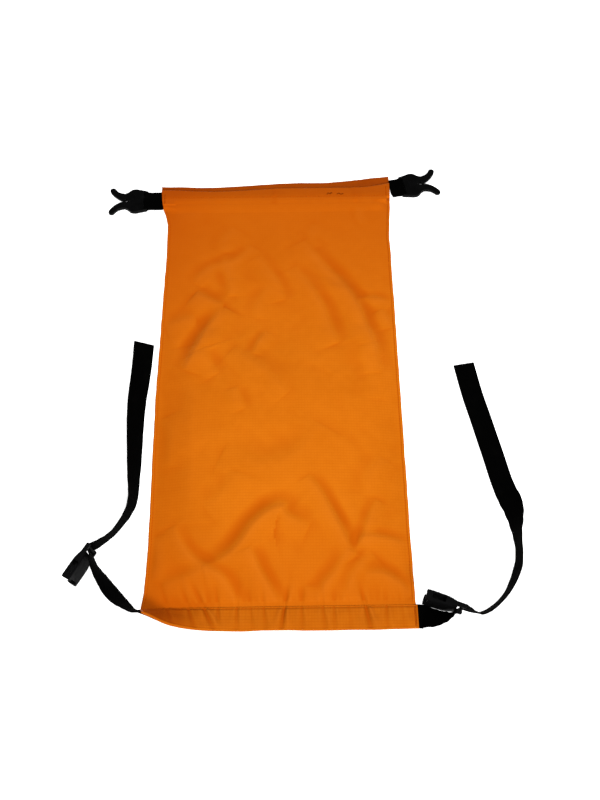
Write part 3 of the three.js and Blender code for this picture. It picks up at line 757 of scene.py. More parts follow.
def front_height(x, y, inset, relief):
    left, right = left_edge(y), right_edge(y)
    across = np.clip((x - left) / (right - left), 0, 1)
    power = 2.3 + 6.0 * smooth((y - 300) / 70)  # higher is flatter across
    crown = 1 - np.abs(2 * across - 1) ** power
    # The relief is pressed down at the top of the fill and again in the rolls.
    relief = relief * (1 - 0.55 * smooth((y - 420) / 30)) * (1 - 0.25 * smooth((y - 335) / 30))
    relief = relief + pucker(x, HEM_TOP - y)
    rise = 1 - np.exp(-np.clip(inset - SEAM_WIDTH, 0, None) / 5.0)
    z = SEAM_Z + ((crown_height(y) - SEAM_Z) * crown + relief) * rise
    z = z + 1.9 * smooth((y - 529) / 12) * rise  # the mouth gapes
    z = soft_min(z, np.interp(y, CEILING[:, 0], CEILING[:, 1]), softness=0.35)
    return -soft_min(-z, np.full(z.shape, -FLOOR_OF_FRONT), softness=0.3)


def back_height(x, y, inset):
    warp_x, warp_y = x + 12 * noise(x, y, 50, seed=31), y + 12 * noise(x, y, 50, seed=32)
    swell = 0.55 * np.clip(noise(warp_x, warp_y, 38, seed=33) + 0.15, 0, 1)
    ridges = 1 - np.abs(noise(warp_x - warp_y * 0.4, warp_y, 42, seed=34)) * 4.2
    relief = swell + 0.9 * np.clip(ridges, 0, 1) ** 2
    relief = (relief * smooth((y - 40) / 40) * (1 - 0.6 * smooth((y - 425) / 30))
              * smooth((545 - y) / 15))
    z = 0.22 + relief * smooth((inset - 5) / 20)
    return z + 0.75 * np.exp(-np.clip(inset - SEAM_WIDTH, 0, None) / 2.4)


def bead(inset):
    """Swell of the sewn side seam, 0 at the edge and at its inner side."""
    half = SEAM_WIDTH / 2
    return np.sqrt(np.clip(1 - ((inset - half) / half) ** 2, 0, 1))


# ------------------------------------------------------------------ grid of the sleeve
EDGE_INSETS = np.array([0, 0.3, 0.75, 1.3, 1.9, 2.5, 3.0, 3.4, 3.9, 4.7, 6.0])
NOMINAL_WIDTH = 288
ROW_RUNS = [  # from y, to y, spacing
    (26.0, FILL_Y, 1.5), (FILL_Y, 416, 1.5), (416, 432, 1.0), (432, 452, 1.5),
    (452, 474, 1.5), (474, 488, 1.0), (488, 508, 1.5), (508, 529, 1.5), (529, MOUTH_Y, 0.9)]


def rows_between(start, end, step):
    count = max(1, int(round((end - start) / step)))
    return [start + (end - start) * i / count for i in range(count)]


ROWS = [20.6, 21.4, 22.2, 23.0, 23.8, 24.8]
for run_of_rows in ROW_RUNS:
    ROWS += rows_between(*run_of_rows)
ROWS = np.array(ROWS + [MOUTH_Y])


def sheet_grid(step):
    """x, y and distance from the nearer side edge, for each row and column of a sheet."""
    margin = EDGE_INSETS[-1]
    count = int(round((NOMINAL_WIDTH - 2 * margin) / step))
    shares = np.arange(1, count) / count
    left, right = left_edge(ROWS)[:, None], right_edge(ROWS)[:, None]
    x = np.concatenate([left + EDGE_INSETS,
                        (left + margin) + shares * (right - left - 2 * margin),
                        right - EDGE_INSETS[::-1]], 1)
    return x, np.repeat(ROWS[:, None], x.shape[1], 1), np.minimum(x - left, right - x)


def into_hem(x, y, z, level):
    """Leads a sheet into the hem band: below the stitch line it lies inside the band at the
    given level and turns up with it."""
    turn = np.radians(hem_turn(x))
    points = np.stack([x, y, z], -1)
    inside = hem_point(x, HEM_TOP - y, level)
    drop = level - HEM_THICK
    above = np.clip(y - HEM_TOP, 0, None)
    start = np.stack([x, y + drop * np.sin(turn) * np.exp(-above / 7),
                      HEM_THICK + drop * np.cos(turn)], -1)
    share = smooth((y - HEM_TOP) / 9)[..., None]
    led = (start * (1 - share) + points * share)[..., 1:]
    outside = np.concatenate([points[..., :1], led], -1)
    return np.where((y <= HEM_TOP)[..., None], inside, outside)


def front_points(x, y, inset, relief):
    z = front_height(x, y, inset, relief)
    waver = 0.16 * noise(y, 0 * y, 7.0, seed=51)
    sewn = SEAM_Z + (BEAD_HEIGHT + waver) * bead(inset)
    z = np.where(inset <= SEAM_WIDTH, sewn, np.maximum(z, SEAM_Z))
    # The left side opens just below the mouth.
    opening = np.where(x < 0, smooth((y - 533) / 7.5), 0.0) * smooth((20 - inset) / 8)
    open_z = np.where(inset < 0.2, SEAM_Z, np.where(inset < 0.5, 3.4, 4.85))
    z = z + (open_z - z) * opening
    gathers = np.clip(pucker(x, np.zeros_like(x)) * 0.35, -0.3, 0.25)
    return into_hem(x, y, z, HEM_MID + (0.75 + gathers) * (1 - np.exp(-inset / 2.0)))


def back_points(x, y, inset):
    sewn = SEAM_Z - BEAD_HEIGHT * bead(inset) - 0.30 * np.clip(inset / SEAM_WIDTH, 0, 1)
    z = np.where(inset <= SEAM_WIDTH, sewn, back_height(x, y, inset))
    return into_hem(x, y, z, HEM_MID - 0.7 * (1 - np.exp(-inset / 2.0)))


def front_painted_shading(x, y, inset, relief):
    """How far the sheet stands out of its surroundings, as the amount of painted shade and highlight, with
    painted shade along the seams and hem.
    """
    height = relief + pucker(x, HEM_TOP - y)
    proud = np.zeros(height.shape)
    for shift in (3, 7):
        proud += height - 0.25 * (np.roll(height, shift, 0) + np.roll(height, -shift, 0)
                                  + np.roll(height, shift, 1) + np.roll(height, -shift, 1))
    # The rolled-over borders hold no true neighbours.
    for border in (proud[:8], proud[-8:], proud[:, :8], proud[:, -8:]):
        border[:] = 0
    painted_shading = np.clip(proud * 0.7, -1, 1)
    # Painted shadow of the turned-up band, above the stitch line at the left corner.
    band_shadow = 0.75 * bell((y - 27) / 9) * smooth((x + 148) / 14) * smooth((-52 - x) / 40)
    painted_shading = np.clip(painted_shading - band_shadow, -1, 1)
    # Painted shade in the groove of each side seam's stitch line.
    painted_shading[np.abs(inset - STITCH_INSET) < 0.6] = -0.35
    return painted_shading


front_x, front_y, front_inset = sheet_grid(step=1.55)
back_x, back_y, back_inset = sheet_grid(step=3.2)
relief_map = front_relief(front_x, front_y)
front = front_points(front_x, front_y, front_inset, relief_map)
back = back_points(back_x, back_y, back_inset)


def loop_round(front_part, back_part):
    """One loop: front from left to right, then back from right to left."""
    return np.concatenate([front_part, back_part[:, -2:0:-1]], 1)


sleeve = loop_round(front, back)
sleeve_flat = loop_round(np.stack([front_x, front_y, 0 * front_x], -1),
                         np.stack([back_x, back_y + 1.7, 0 * back_x], -1))
sleeve_painted_shading = loop_round(front_painted_shading(front_x, front_y, front_inset, relief_map), 0 * back_x)
sleeve_normals = grid_normals(sleeve, wrap=True)


# ------------------------------------------------------------------ body and rolls
def blend_across(lower, upper, y, half):
    return (lower, upper, metres(0, y - half, 0), metres(0, y + half, 0))


BLEND_FILL = ("bag", "front_sheet", metres(0, 200, 6.4), metres(0, 200, 17.5))
BLEND_LOWER = blend_across("bag", "lower_roll", LOWER_FOLD_Y, half=8)
BLEND_MIDDLE = blend_across("lower_roll", "upper_roll", MIDDLE_FOLD_Y, half=7)
BLEND_UPPER = blend_across("upper_roll", "mouth", UPPER_FOLD_Y, half=5.5)
SLEEVE_PIECES = [  # name, from y, to y, blend, pieces replaced
    ("bag_body", ROWS[0], FILL_Y, BLEND_FILL,
     ("front_panel", "back_panel", "left_side_seam", "right_side_seam")),
    ("bag_upper_body", FILL_Y, 452, BLEND_LOWER, ("front_panel_top",)),
    ("lower_roll_cloth", 452, 508, BLEND_MIDDLE, ("lower_roll_sleeve",)),
    ("upper_roll_cloth", 508, MOUTH_Y, BLEND_UPPER, ("upper_roll_sleeve",)),
]
SIDE_STITCHING = [  # label, from y, to y, what it moves with
    ("body", 25, FILL_Y, dict(ride="bag")),
    ("upper_body", FILL_Y, 452, dict(blend=BLEND_LOWER)),
    ("lower_roll", 452, 508, dict(blend=BLEND_MIDDLE)),
    ("upper_roll", 508, MOUTH_Y, dict(blend=BLEND_UPPER)),
]


def nearest(values, target):
    return int(np.argmin(abs(values - target)))


def sleeve_piece(name, start_y, end_y, blend, replaces):
    part = slice(nearest(ROWS, start_y), nearest(ROWS, end_y) + 1)
    rows, cols = sleeve[part].shape[:2]
    ob = new_object(name, sleeve[part], grid_faces(rows, cols, wrap=True), [CLOTH],
                    normals=sleeve_normals[part], flat=sleeve_flat[part],
                    painted_shading=sleeve_painted_shading[part])
    register(ob, "orange_cloth", blend=blend, replaces=replaces)


def seam_path(from_right, start_y, end_y):
    column = nearest(EDGE_INSETS, STITCH_INSET)
    if from_right:
        column = front.shape[1] - 1 - column
    return resample(np.arange(start_y, end_y, 1.0), ROWS, front[:, column])


for piece in SLEEVE_PIECES:
    sleeve_piece(*piece)
for label, start_y, end_y, moves_with in SIDE_STITCHING:
    paths = [seam_path(from_right, start_y + 0.5, end_y - 0.3) for from_right in (False, True)]
    stitching("side_stitching_" + label, paths, normal=(0, 0, 1),
              length=2.3, gap=0.7, radius=0.23, sink=0.10, **moves_with)

# ------------------------------------------------------------------ bottom hem band
# Section of the band, as depth from the stitched edge and level through the thickness.
FRONT_DEPTH = np.r_[0.7, 0.25, 0.0, 0.12, 0.45, 0.9, 1.3, 1.7, 2.3, 3.1, 4.1,
                    np.arange(5.3, 22.0, 1.2), 22.1, 22.7, 23.1]
FRONT_LEVEL = np.r_[2.55, 2.65, 2.95, 3.25, np.full(len(FRONT_DEPTH) - 4, HEM_THICK)]
BACK_DEPTH = [23.0, 20, 17, 14, 11, 8, 5, 2.6, 1.2, 0.4, 0.0, 0.25, 0.7]
BACK_LEVEL = np.r_[np.zeros(9), 0.02, 0.35, 0.75, 0.85]
FRONT_PART = slice(3, len(FRONT_DEPTH))
HEM_STITCH_COLUMN = 6  # lies in the stitch groove

bend = np.radians(np.linspace(75, -75, 7))
hem_x = np.unique(np.r_[np.arange(HEM_LEFT, 144.4, 1.15),
                        -146.4, -145.6, 143.4, 144.0, HEM_RIGHT])
grid_x = hem_x[:, None]
depth = np.r_[FRONT_DEPTH, 23.3 + HEM_MID * np.cos(bend), BACK_DEPTH][None, :] + 0 * grid_x
level = np.r_[FRONT_LEVEL, HEM_MID + HEM_MID * np.sin(bend), BACK_LEVEL][None, :] + 0 * grid_x
grid_x = grid_x + 0 * depth
is_front = np.zeros(depth.shape, bool)
is_front[:, FRONT_PART] = True

groove = -0.75 * bell((depth - 1.35) / 0.75) - 0.35 * bell((depth - 22.2) / 0.7)
gathers = pucker(grid_x, depth)
wave = (0.35 * noise(grid_x + 3 * noise(grid_x, depth, 18, seed=61), depth * 2.2, 17, seed=62)
        * smooth(depth / 6) * smooth((24 - depth) / 6))
bulge = 0.45 * np.sin(np.pi * np.clip(depth / 25, 0, 1)) ** 0.8
end_fade = smooth((grid_x - HEM_LEFT) / 6) * smooth((HEM_RIGHT - grid_x) / 6)
raised = (gathers * (0.35 + 0.65 * smooth(depth / 3)) + wave + bulge) * end_fade
level = np.where(is_front, np.maximum(level + groove + raised, 2.45), level)
pinch = 0.56 + 0.44 * smooth((grid_x - HEM_LEFT) / 3.0) * smooth((HEM_RIGHT - grid_x) / 3.0)
level = HEM_MID + (level - HEM_MID) * pinch
# The folded edge is not ruler straight.
depth = depth + (0.55 * noise(grid_x, 0 * grid_x, 23, seed=63) - 0.3) * smooth((depth - 12) / 12)
hem_points = hem_point(grid_x, depth, level)
hem_points[..., 2] = np.maximum(hem_points[..., 2], 0.02)
hem_normals = -grid_normals(hem_points)
# Painted shade in the gathers and the stitch grooves, and over the turned-up left corner, which faces away
# from the light.
hem_painted_shading = np.clip((gathers + groove * 0.9) * 0.8 - 0.75 * smooth(hem_turn(grid_x) / 45), -1, 1)
# The band takes the cloth copy darkened as painted shade.
hem = new_object(
    "bottom_hem_band", hem_points, grid_faces(*depth.shape, flip=True), [CLOTH_SHADED],
    normals=hem_normals,
    flat=np.stack([grid_x, 300 - depth + (level < 1) * 40, 0 * depth], -1),
    painted_shading=np.where(is_front, hem_painted_shading, 0))
register(hem, "orange_cloth", ride="bag", replaces=["bottom_hem"])

stitched = (hem_x > -141) & (hem_x < 141)
stitching("hem_stitching", [hem_points[stitched, HEM_STITCH_COLUMN]],
          hem_normals[stitched, HEM_STITCH_COLUMN],
          length=2.5, gap=0.9, radius=0.26, sink=0.10, ride="bag")


def hem_tack(side, x):
    at = np.arange(2.0, 22.0, TACK_PITCH)
    row = nearest(hem_x, x)
    surface = np.interp(at, depth[row, FRONT_PART], level[row, FRONT_PART])
    turn = np.radians(hem_turn(x))
    bartack(side + "_hem_tack", "bag", side + "_hem_bartack",
            hem_point(np.full(at.shape, x), at, surface + 0.16),
            np.array([0.0, math.sin(turn), math.cos(turn)]))


hem_tack("left", -143.5)
hem_tack("right", 141.6)


# ------------------------------------------------------------------ mouth lips
def lip_rows(top, outer, shoulder, steps, inner_count, ripple):
    """(y, depth under the outer face) of each row of a lip: up its outer face, over the top
    edge and down its inner face."""
    rows = [(y, 0.0) for y in outer]
    rows += [(shoulder + k * (top - 1.1 - shoulder), 0.0) for k in steps]
    for degrees in (25, 55, 90, 125, 155):
        angle = math.radians(degrees)
        rows.append((top - 0.75 + 0.75 * math.sin(angle), 0.72 - 0.72 * math.cos(angle)))
    for k in np.linspace(0, 1, inner_count):
        rows.append((top - 0.9 + k * (555.2 - (top - 0.9)), 1.42 + ripple * math.sin(k * 19)))
    rows += [(554.0, 1.25), (553.3, 0.7), (551.0, 0.55), (546.0, 0.5)]
    return [(y + 0 * top, under) for y, under in rows]


def lip_points(rows, face_z, start):
    """Places the rows; their columns run on from the start row along the side edges."""
    mouth = np.array([MOUTH_Y])
    left, right = left_edge(mouth)[0], right_edge(mouth)[0]
    share = (start[:, 0] - left) / (right - left)
    points = [start]
    for y, under in rows[1:]:
        x = left_edge(y) + share * (right_edge(y) - left_edge(y))
        points.append(np.stack([x, y, face_z(x, y, under)], -1))
    return np.array(points)


def edge_thinning(inset):
    return 0.5 + 0.5 * smooth(inset / 2.5)


def front_lip_z(x, y, under):
    top, inset = front_top(x), front_inset[-1]
    y = np.minimum(y, top - 0.4)
    z = 5.95 + 0.15 * np.sin(np.clip((y - 553) / (top - 553), 0, 1) * np.pi)
    z = z - 0.30 * bell((y - LIP_STITCH_Y) / 1.2)
    # Upright creases, then waves.
    creases = (0.5 * bell((x - 101) / 3.2) - 0.3 * bell((x - 106.5) / 3)
               + 0.45 * bell((x + 4) / 2.6) * smooth((y - 552) / 4))
    creases = creases + 0.22 * noise(x, y * 0.35, 13, seed=71) + 0.10 * noise(
        x, y * 0.5, 5.5, seed=72)
    z = z + np.maximum(creases, -0.2) * smooth(inset / 6)
    z = z - 0.35 * np.exp(-inset / 0.8) - 0.3 * bell((inset - 5.2) / 0.5)
    # The right side stays sewn shut up to where its webbing leaves.
    shut = np.where(x > 0, smooth((LIP_STITCH_Y - y) / 5) * smooth((5 - inset) / 2.5), 0.0)
    closed = (SEAM_Z + BEAD_HEIGHT * bead(np.clip(inset, 0, SEAM_WIDTH))
              + 2.6 * smooth((inset - SEAM_WIDTH) / 3))
    z = z * (1 - shut) + closed * shut
    share = smooth((y - MOUTH_Y) / 6.5)
    open_left = (x < 0) & (inset < 16) & (inset > 0.2)
    share = np.where(open_left, smooth(y - MOUTH_Y), share)
    return front[-1, :, 2] * (1 - share) + z * share - under * edge_thinning(inset)


def back_lip_z(x, y, under):
    inset = back_inset[-1]
    face_y = np.minimum(y, back_top(x) - 0.4)
    z = (0.25 + 0.22 * np.clip(noise(x, face_y * 0.4, 16, seed=81), 0, 1)
         * smooth((face_y - 548) / 6) + 0.65 * np.exp(-inset / 1.2))
    share = smooth((face_y - MOUTH_Y) / 6.5)
    z = back[-1, :, 2] * (1 - share) + z * share
    # Only the inner face waves, and rises where it shows above the front lip.
    inner = min(1.0, under)
    wave = 0.25 * noise(x, y * 0.3, 12, seed=82) * smooth(inset / 6) * inner
    lean_up = 1.7 * smooth((y - front_top(x) + 7) / 8) * smooth((inset - 4) / 22) * inner
    return z + lean_up + (under + wave) * edge_thinning(inset)


def build_lip(side, points, painted_shading, inner_rows, slot, flip):
    x = points[..., 0]
    steps = np.linalg.norm(np.diff(points, axis=0), axis=2).mean(1)
    run = np.r_[0, np.cumsum(steps)]
    is_inner = np.arange(len(points) - 1) >= len(points) - inner_rows
    below_stitching = points[:-1, 0, 1] < 552.5
    # The outer face above the stitching takes the cloth copy darkened as painted shade; the inner face takes
    # the coated colour with painted shade.
    materials = [CLOTH_SHADED, CLOTH_INNER_SHADED, CLOTH]
    which = np.where(is_inner, 1, np.where(below_stitching, 2, 0))
    ob = new_object(side + "_mouth_hem", points, grid_faces(*x.shape, flip=flip), materials,
                    face_material=np.repeat(which, x.shape[1] - 1),
                    flat=np.stack([x, MOUTH_Y + run[:, None] + 0 * x, 0 * x], -1), painted_shading=painted_shading)
    register(ob, slot, ride="mouth", replaces=[side + "_lip"])


front_lip = lip_points(
    lip_rows(front_top(front_x[-1]),
             outer=[*np.arange(MOUTH_Y, 551.6, 0.9), 551.9, 552.3, LIP_STITCH_Y,
                    553.3, 553.8, 554.4],
             shoulder=554.4, steps=np.linspace(0, 1, 9)[1:], inner_count=7, ripple=0.0),
    front_lip_z, front[-1])
back_lip = lip_points(
    lip_rows(back_top(back_x[-1]), outer=[*np.arange(MOUTH_Y, 552.0, 1.2), LIP_STITCH_Y],
             shoulder=554.0, steps=np.linspace(0, 1, 8), inner_count=16, ripple=0.12),
    back_lip_z, back[-1])

lip_x, lip_y = front_lip[..., 0], front_lip[..., 1]
# Painted shade along the stitch line and in the two upright creases, with random darker mottling.
lip_painted_shading = np.clip(
    -0.25 * bell((lip_y - LIP_STITCH_Y) / 0.9) - 0.5 * bell((lip_x + 4) / 4)
    - 0.35 * bell((lip_x - 101) / 5)
    + 0.35 * np.minimum(0, noise(lip_x * 0.25, lip_y, 2.2, seed=91)), -1, 1)
lip_painted_shading[len(front_lip) - 16:] = 0  # from the top edge over and down the inner face
build_lip("front", front_lip, lip_painted_shading, inner_rows=12, slot="orange_cloth", flip=False)
build_lip("back", back_lip, np.zeros(back_lip.shape[:2]), inner_rows=22, slot="coated_cloth",
          flip=True)


def lip_stitching(side, row, radius, sink):
    sewn = row[(row[:, 0] > -146) & (row[:, 0] < 141)]
    stitching(side + "_hem_stitching", [sewn], normal=(0, 0, 1),
              length=2.5, gap=0.8, radius=radius, sink=sink, ride="mouth")


# Two loose thread ends on the front lip, as points (x, y).
THREAD_ENDS = [
    [(64, 555.2), (66, 557.6), (68.5, 556.2), (69.5, 558.2), (71, 556.8)],
    [(77, 555.6), (80, 557.0), (82, 555.4), (85.5, 556.4)],
]


def thread_ends(stitch_row):
    ends = Gather()
    for points in THREAD_ENDS:
        path = spline(points, fine=5)
        z = np.array([front_lip[nearest(front_lip[:24, 100, 1], y),
                                nearest(stitch_row[:, 0], x), 2] for x, y in path])
        ends.tube(np.c_[path, z + 0.32], radius=0.42)
    register(ends.object("front_hem_thread_ends", THREAD_DARK), "thread", ride="mouth")


front_stitch_row = front_lip[nearest(front_lip[:40, 100, 1], LIP_STITCH_Y)]
lip_stitching("front", front_stitch_row, radius=0.25, sink=0.08)
thread_ends(front_stitch_row)
back_inner = back_lip[-12:]
lip_stitching("back", back_inner[nearest(back_inner[:, 60, 1], 557.0)], radius=0.22, sink=0.05)


def mouth_tack(side, x, start_y, end_y):
    y = np.arange(start_y, end_y, TACK_PITCH)
    column = front_lip[:23, nearest(front_lip[6, :, 0], x)]
    z = np.interp(y, column[:, 1], column[:, 2])
    bartack(side + "_tab_tack", "mouth", side + "_tab_bartack",
            np.stack([np.full(y.shape, x), y, z + 0.12], -1), np.array([0, 0, 1.0]))


mouth_tack("left", -146.4, 543, 558.5)
mouth_tack("right", 141.4, 553.8, 567.8)


# ------------------------------------------------------------------ tapes and stiffeners
def tape(node, x, y, z, flip=False):
    """Thin film inside the bag, over a grid of its lower face."""
    lower = np.stack([x, y, z], -1)
    upper = np.stack([x, y, z + 0.18], -1)
    ring = np.concatenate([upper, lower[:, ::-1]], 1)
    ob = new_object(node + "_film", ring,
                    grid_faces(len(ring), ring.shape[1], wrap=True, flip=flip), [TAPE])
    register(ob, "seam_tape", ride="bag", replaces=[node])


tape_y = np.arange(27, 419, 3.0)[:, None]
tape_insets = np.array([5.0, 5.3, 9, 13, 17, 19.6, 20.0])
for node, tape_x in (("left_seam_tape", left_edge(tape_y) + tape_insets),
                     ("right_seam_tape", right_edge(tape_y) - tape_insets)):
    grid_y = tape_y + 0 * tape_x
    inset = np.broadcast_to(tape_insets, tape_x.shape)
    tape(node, tape_x, grid_y, back_height(tape_x, grid_y, inset) + 0.28)

tape_x, grid_y = np.meshgrid(np.arange(-121, 121.1, 4.0),
                             [26.5, 26.9, 30, 34, 37, 39.6, 40.0], indexing="ij")
tape("bottom_seam_tape", tape_x, grid_y,
     back_height(tape_x, grid_y, 0 * tape_x + 40) + 0.5, flip=True)

for node in ("back_lip_stiffener", "front_lip_stiffener"):
    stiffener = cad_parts[node]
    stiffener.data.materials.clear()
    stiffener.data.materials.append(STRIP)


# ------------------------------------------------------------------ webbing
FACE_COLUMNS = 33


def band(name, centres, across, facing, width=WEB_WIDTH, thick=WEB_THICK, step=0.62,
         phase=0.0, spread=None):
    """Woven band along centres, with its width and face directions at each. The weave and the
    selvedges are in the mesh. phase shifts the weave, spread scales the width."""
    run = path_length(centres)
    along = np.linspace(0, run[-1], int(run[-1] / step) + 1)
    centres, across, facing = (resample(along, run, v) for v in (centres, across, facing))
    across, facing = unit(across), unit(facing)
    if spread is not None:
        across *= np.interp(along, run, spread)[:, None]

    # Section: place across the width, and side (1 upper face, -1 lower face, 0 edge).
    half = width / 2
    face = np.linspace(-half + 0.45, half - 0.45, FACE_COLUMNS)
    near = half - 0.15
    place = np.r_[face, near, half, near, face[::-1], -near, -half, -near]
    side = np.r_[np.ones(FACE_COLUMNS), 0.72, 0.0, -0.72,
                 -np.ones(FACE_COLUMNS), -0.72, 0.0, 0.72]
    place, grid_run = np.meshgrid(place, along)
    grid_run = grid_run + phase
    side = np.broadcast_to(side, place.shape)

    turn = 2 * np.pi
    basket = np.cos(turn * place / BASKET_ACROSS) * np.cos(turn * grid_run / BASKET_ALONG)
    selvedge = smooth((np.abs(place) - 11.0) / 0.7)
    beat = np.cos(turn * grid_run / SELVEDGE_PITCH)
    relief = 0.055 * basket * (1 - selvedge) + 0.07 * selvedge + 0.03 * selvedge * beat
    on_face = np.abs(side) > 0.9
    lift = side * (thick / 2 - 0.05 + relief * on_face)
    ripple = ~on_face * np.sign(place) * 0.06 * beat
    points = (centres[:, None] + across[:, None] * (place + ripple)[..., None]
              + facing[:, None] * lift[..., None])
    rows, cols = place.shape
    verts = [points.reshape(-1, 3)]
    flat = [np.stack([grid_run, place, 0 * place], -1).reshape(-1, 3)]
    faces = list(grid_faces(rows, cols, wrap=True))

    # Heat-cut ends: a shallow melted crown, closed by strips from face to face.
    closing = [(j, j + 1, 67 - j, 68 - j) for j in range(FACE_COLUMNS - 1)]
    closing += [(32, 33, 34, 35, 36), (68, 69, 70, 71, 0)]
    crown = (0.28 + 0.1 * np.sin(np.arange(cols) * 1.7))[:, None]
    for row, inner, base in ((0, 1, rows * cols), (rows - 1, rows - 2, (rows + 1) * cols)):
        outward = unit(centres[row] - centres[inner])
        verts.append(centres[row] + across[row] * place[row][:, None] * 0.985
                     + facing[row] * lift[row][:, None] * 0.55 + outward * crown)
        flat.append(np.stack([np.full(cols, along[row]), place[row], np.zeros(cols)], -1))
        for j in range(cols):
            after = (j + 1) % cols
            quad = (row * cols + j, row * cols + after, base + after, base + j)
            faces.append(quad if row else quad[::-1])
        for ring in closing:
            ring = tuple(base + i for i in ring)
            faces.append(ring if row else ring[::-1])

    ob = new_object(name, np.concatenate(verts), faces, [WEBBING], flat=np.concatenate(flat))
    with editing(ob.data) as bm:
        bmesh.ops.recalc_face_normals(bm, faces=bm.faces)
    return ob


GROUND_GAP = 0.15  # between the floor and the straps' lower selvedge
WRAP_RADIUS = BAR_RADIUS + 0.3 + WEB_THICK / 2
WRAP_LIFT = FEMALE_Z - WEB_WIDTH / 2 - GROUND_GAP


def wrap(bar, start, end):
    """Stations round a crossbar, from one angle in degrees to the other."""
    stations = []
    for i in range(5):
        angle = math.radians(start + (end - start) * i / 4)
        stations.append((bar[0] + WRAP_RADIUS * math.cos(angle),
                         bar[1] + WRAP_RADIUS * math.sin(angle), 0, WRAP_LIFT))
    return stations


# Stations of the straps: x, y, lean from upright in degrees, lift off the floor.
LEFT_STRAP = [
    (-149.7, 18.2, 16, 2.6), (-150.7, 18.3, 16, 2.55), (-154.4, 20.1, 17, 2.2),
    (-160, 24.4, 23, 1.0), (-166, 29, 30, 0.3), (-172, 34.4, 34, 0), (-178, 41, 34, 0),
    (-183, 47.6, 29, 0.5), (-188, 54.6, 24, 1.9), (-192.6, 61.6, 16, 4.1),
    (-196.3, 69, 7, 5.9), (-197.7, 74.4, 1, WRAP_LIFT), (-199.2, 77.6, 0, WRAP_LIFT),
    *wrap(LEFT_BAR, 231, 136),
    (-195.6, 87.2, 0, WRAP_LIFT), (-190.5, 90.8, -3, 5.2), (-184, 96.8, -6, 2.2),
    (-178.2, 103, -6, 0.4), (-170.8, 113.6, -3, 0), (-164.2, 125.5, 3, 0),
    (-160.6, 138, 11, 0), (-160.2, 151, 17, 0), (-160.9, 163.8, 22, 0),
    (-161.8, 188.7, 30, 0), (-162.9, 213.6, 36, 0), (-163.8, 238.5, 42, 0),
    (-163.6, 263.3, 47, 0), (-162, 288, 52, 0), (-160.9, 313, 57, 0), (-160.6, 337.6, 62, 0),
]
RIGHT_STRAP = [
    (148, 10.7, -90, 0.95), (149.4, 10.7, -88, 0.8), (153, 10.0, -74, 0.2),
    (157.5, 8.8, -62, 0), (163, 8.5, -52, 0.25), (169, 8.7, -38.5, 1.4),
    (174.6, 9.95, -24, 3.75), (178.8, 11.4, -9, 5.8), (181.9, 12.4, 0, WRAP_LIFT),
    (183.9, 13.0, 0, WRAP_LIFT),
    *wrap(RIGHT_BAR, 172, 84),
    (190.7, 16.3, 0, WRAP_LIFT), (195.4, 14.1, -4, 5.6), (201.2, 11.9, -10, 3.1),
    (207.5, 11, -15, 0.9), (214, 12.9, -13, 0), (220.5, 16.5, -11, 0), (230.5, 24.4, -8, 0),
    (239.5, 34.4, -7, 0), (246.4, 45.8, -9, 0), (251.7, 57.4, -10, 0), (255, 70, -5, 0),
    (256.1, 83.2, -3, 0), (256.2, 96.1, -9, 0), (256.6, 109.3, -24, 0),
    (256.2, 122.3, -42, 0), (254.4, 135.4, -66, 0), (251.4, 148.6, -86, 0),
    (248.2, 161.8, -90, 0), (243.1, 187.6, -90, 0), (237.7, 213.6, -90, 0),
    (232.3, 239.6, -90, 0), (226.7, 265.6, -90, 0), (220, 307, -90, 0),
]
LEFT_ROOT_X = np.array([-124.0, -130, -136, -141, -145, -147.6])
RIGHT_ROOT_X = np.array([118.0, 125, 132, 139, 144, 146.4])


def strap_frames(stations):
    """Centres, width directions and face directions along a centripetal spline."""
    fine = 10
    points = np.array([station[:2] for station in stations], float)
    last = len(points) - 1
    knots = np.vstack([2 * points[0] - points[1], points, 2 * points[-1] - points[-2]])
    centres, across, facing = [], [], []
    for i in range(last * fine + 1):
        k = min(i // fine, last - 1)
        t = i / fine - k
        p0, p1, p2, p3 = knots[k:k + 4]
        d0, d1, d2 = (max(((b - a) @ (b - a)) ** 0.25, 1e-4)
                      for a, b in ((p0, p1), (p1, p2), (p2, p3)))
        out = ((p1 - p0) / d0 - (p2 - p0) / (d0 + d1) + (p2 - p1) / d1) * d1
        into = ((p2 - p1) / d1 - (p3 - p1) / (d1 + d2) + (p3 - p2) / d2) * d1
        square, cube = -3 * p1 + 3 * p2 - 2 * out - into, 2 * p1 - 2 * p2 + out + into
        point = p1 + out * t + square * t * t + cube * t ** 3
        ahead = out + 2 * square * t + 3 * cube * t * t
        ahead = ahead / np.linalg.norm(ahead)
        left = (-ahead[1], ahead[0])
        ease = t * t * (3 - 2 * t)
        lean, lift = (stations[k][c] + (stations[k + 1][c] - stations[k][c]) * ease
                      for c in (2, 3))
        cos, sin = math.cos(math.radians(lean)), math.sin(math.radians(lean))
        across.append([left[0] * sin, left[1] * sin, cos])
        facing.append([left[0] * cos, left[1] * cos, -sin])
        z = GROUND_GAP + WEB_WIDTH / 2 * cos + WEB_THICK / 2 * abs(sin) + lift
        centres.append([point[0], point[1], z])
    return np.array(centres), np.array(across), np.array(facing)


def strap(side, stations, root_x, start, end, root_axes=None, phase=0.0):
    """A strap whose root lies inside the hem band. Without root_axes the root keeps the
    attitude of the first station."""
    centres, across, facing = strap_frames(stations)
    count = len(root_x)
    root = hem_point(root_x, np.full(count, 11.9), np.full(count, HEM_MID))
    if root_axes is None:
        root_axes = np.tile(across[0], (count, 1)), np.tile(facing[0], (count, 1))
    ob = band(side + "_strap_webbing", np.vstack([root, centres[2:]]),
              np.vstack([root_axes[0], across[2:]]), np.vstack([root_axes[1], facing[2:]]),
              phase=phase)
    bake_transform(ob, "bag", side + "_strap", start=metres(*start), end=metres(*end))
    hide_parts(side + "_strap", side + "_strap_anchor")


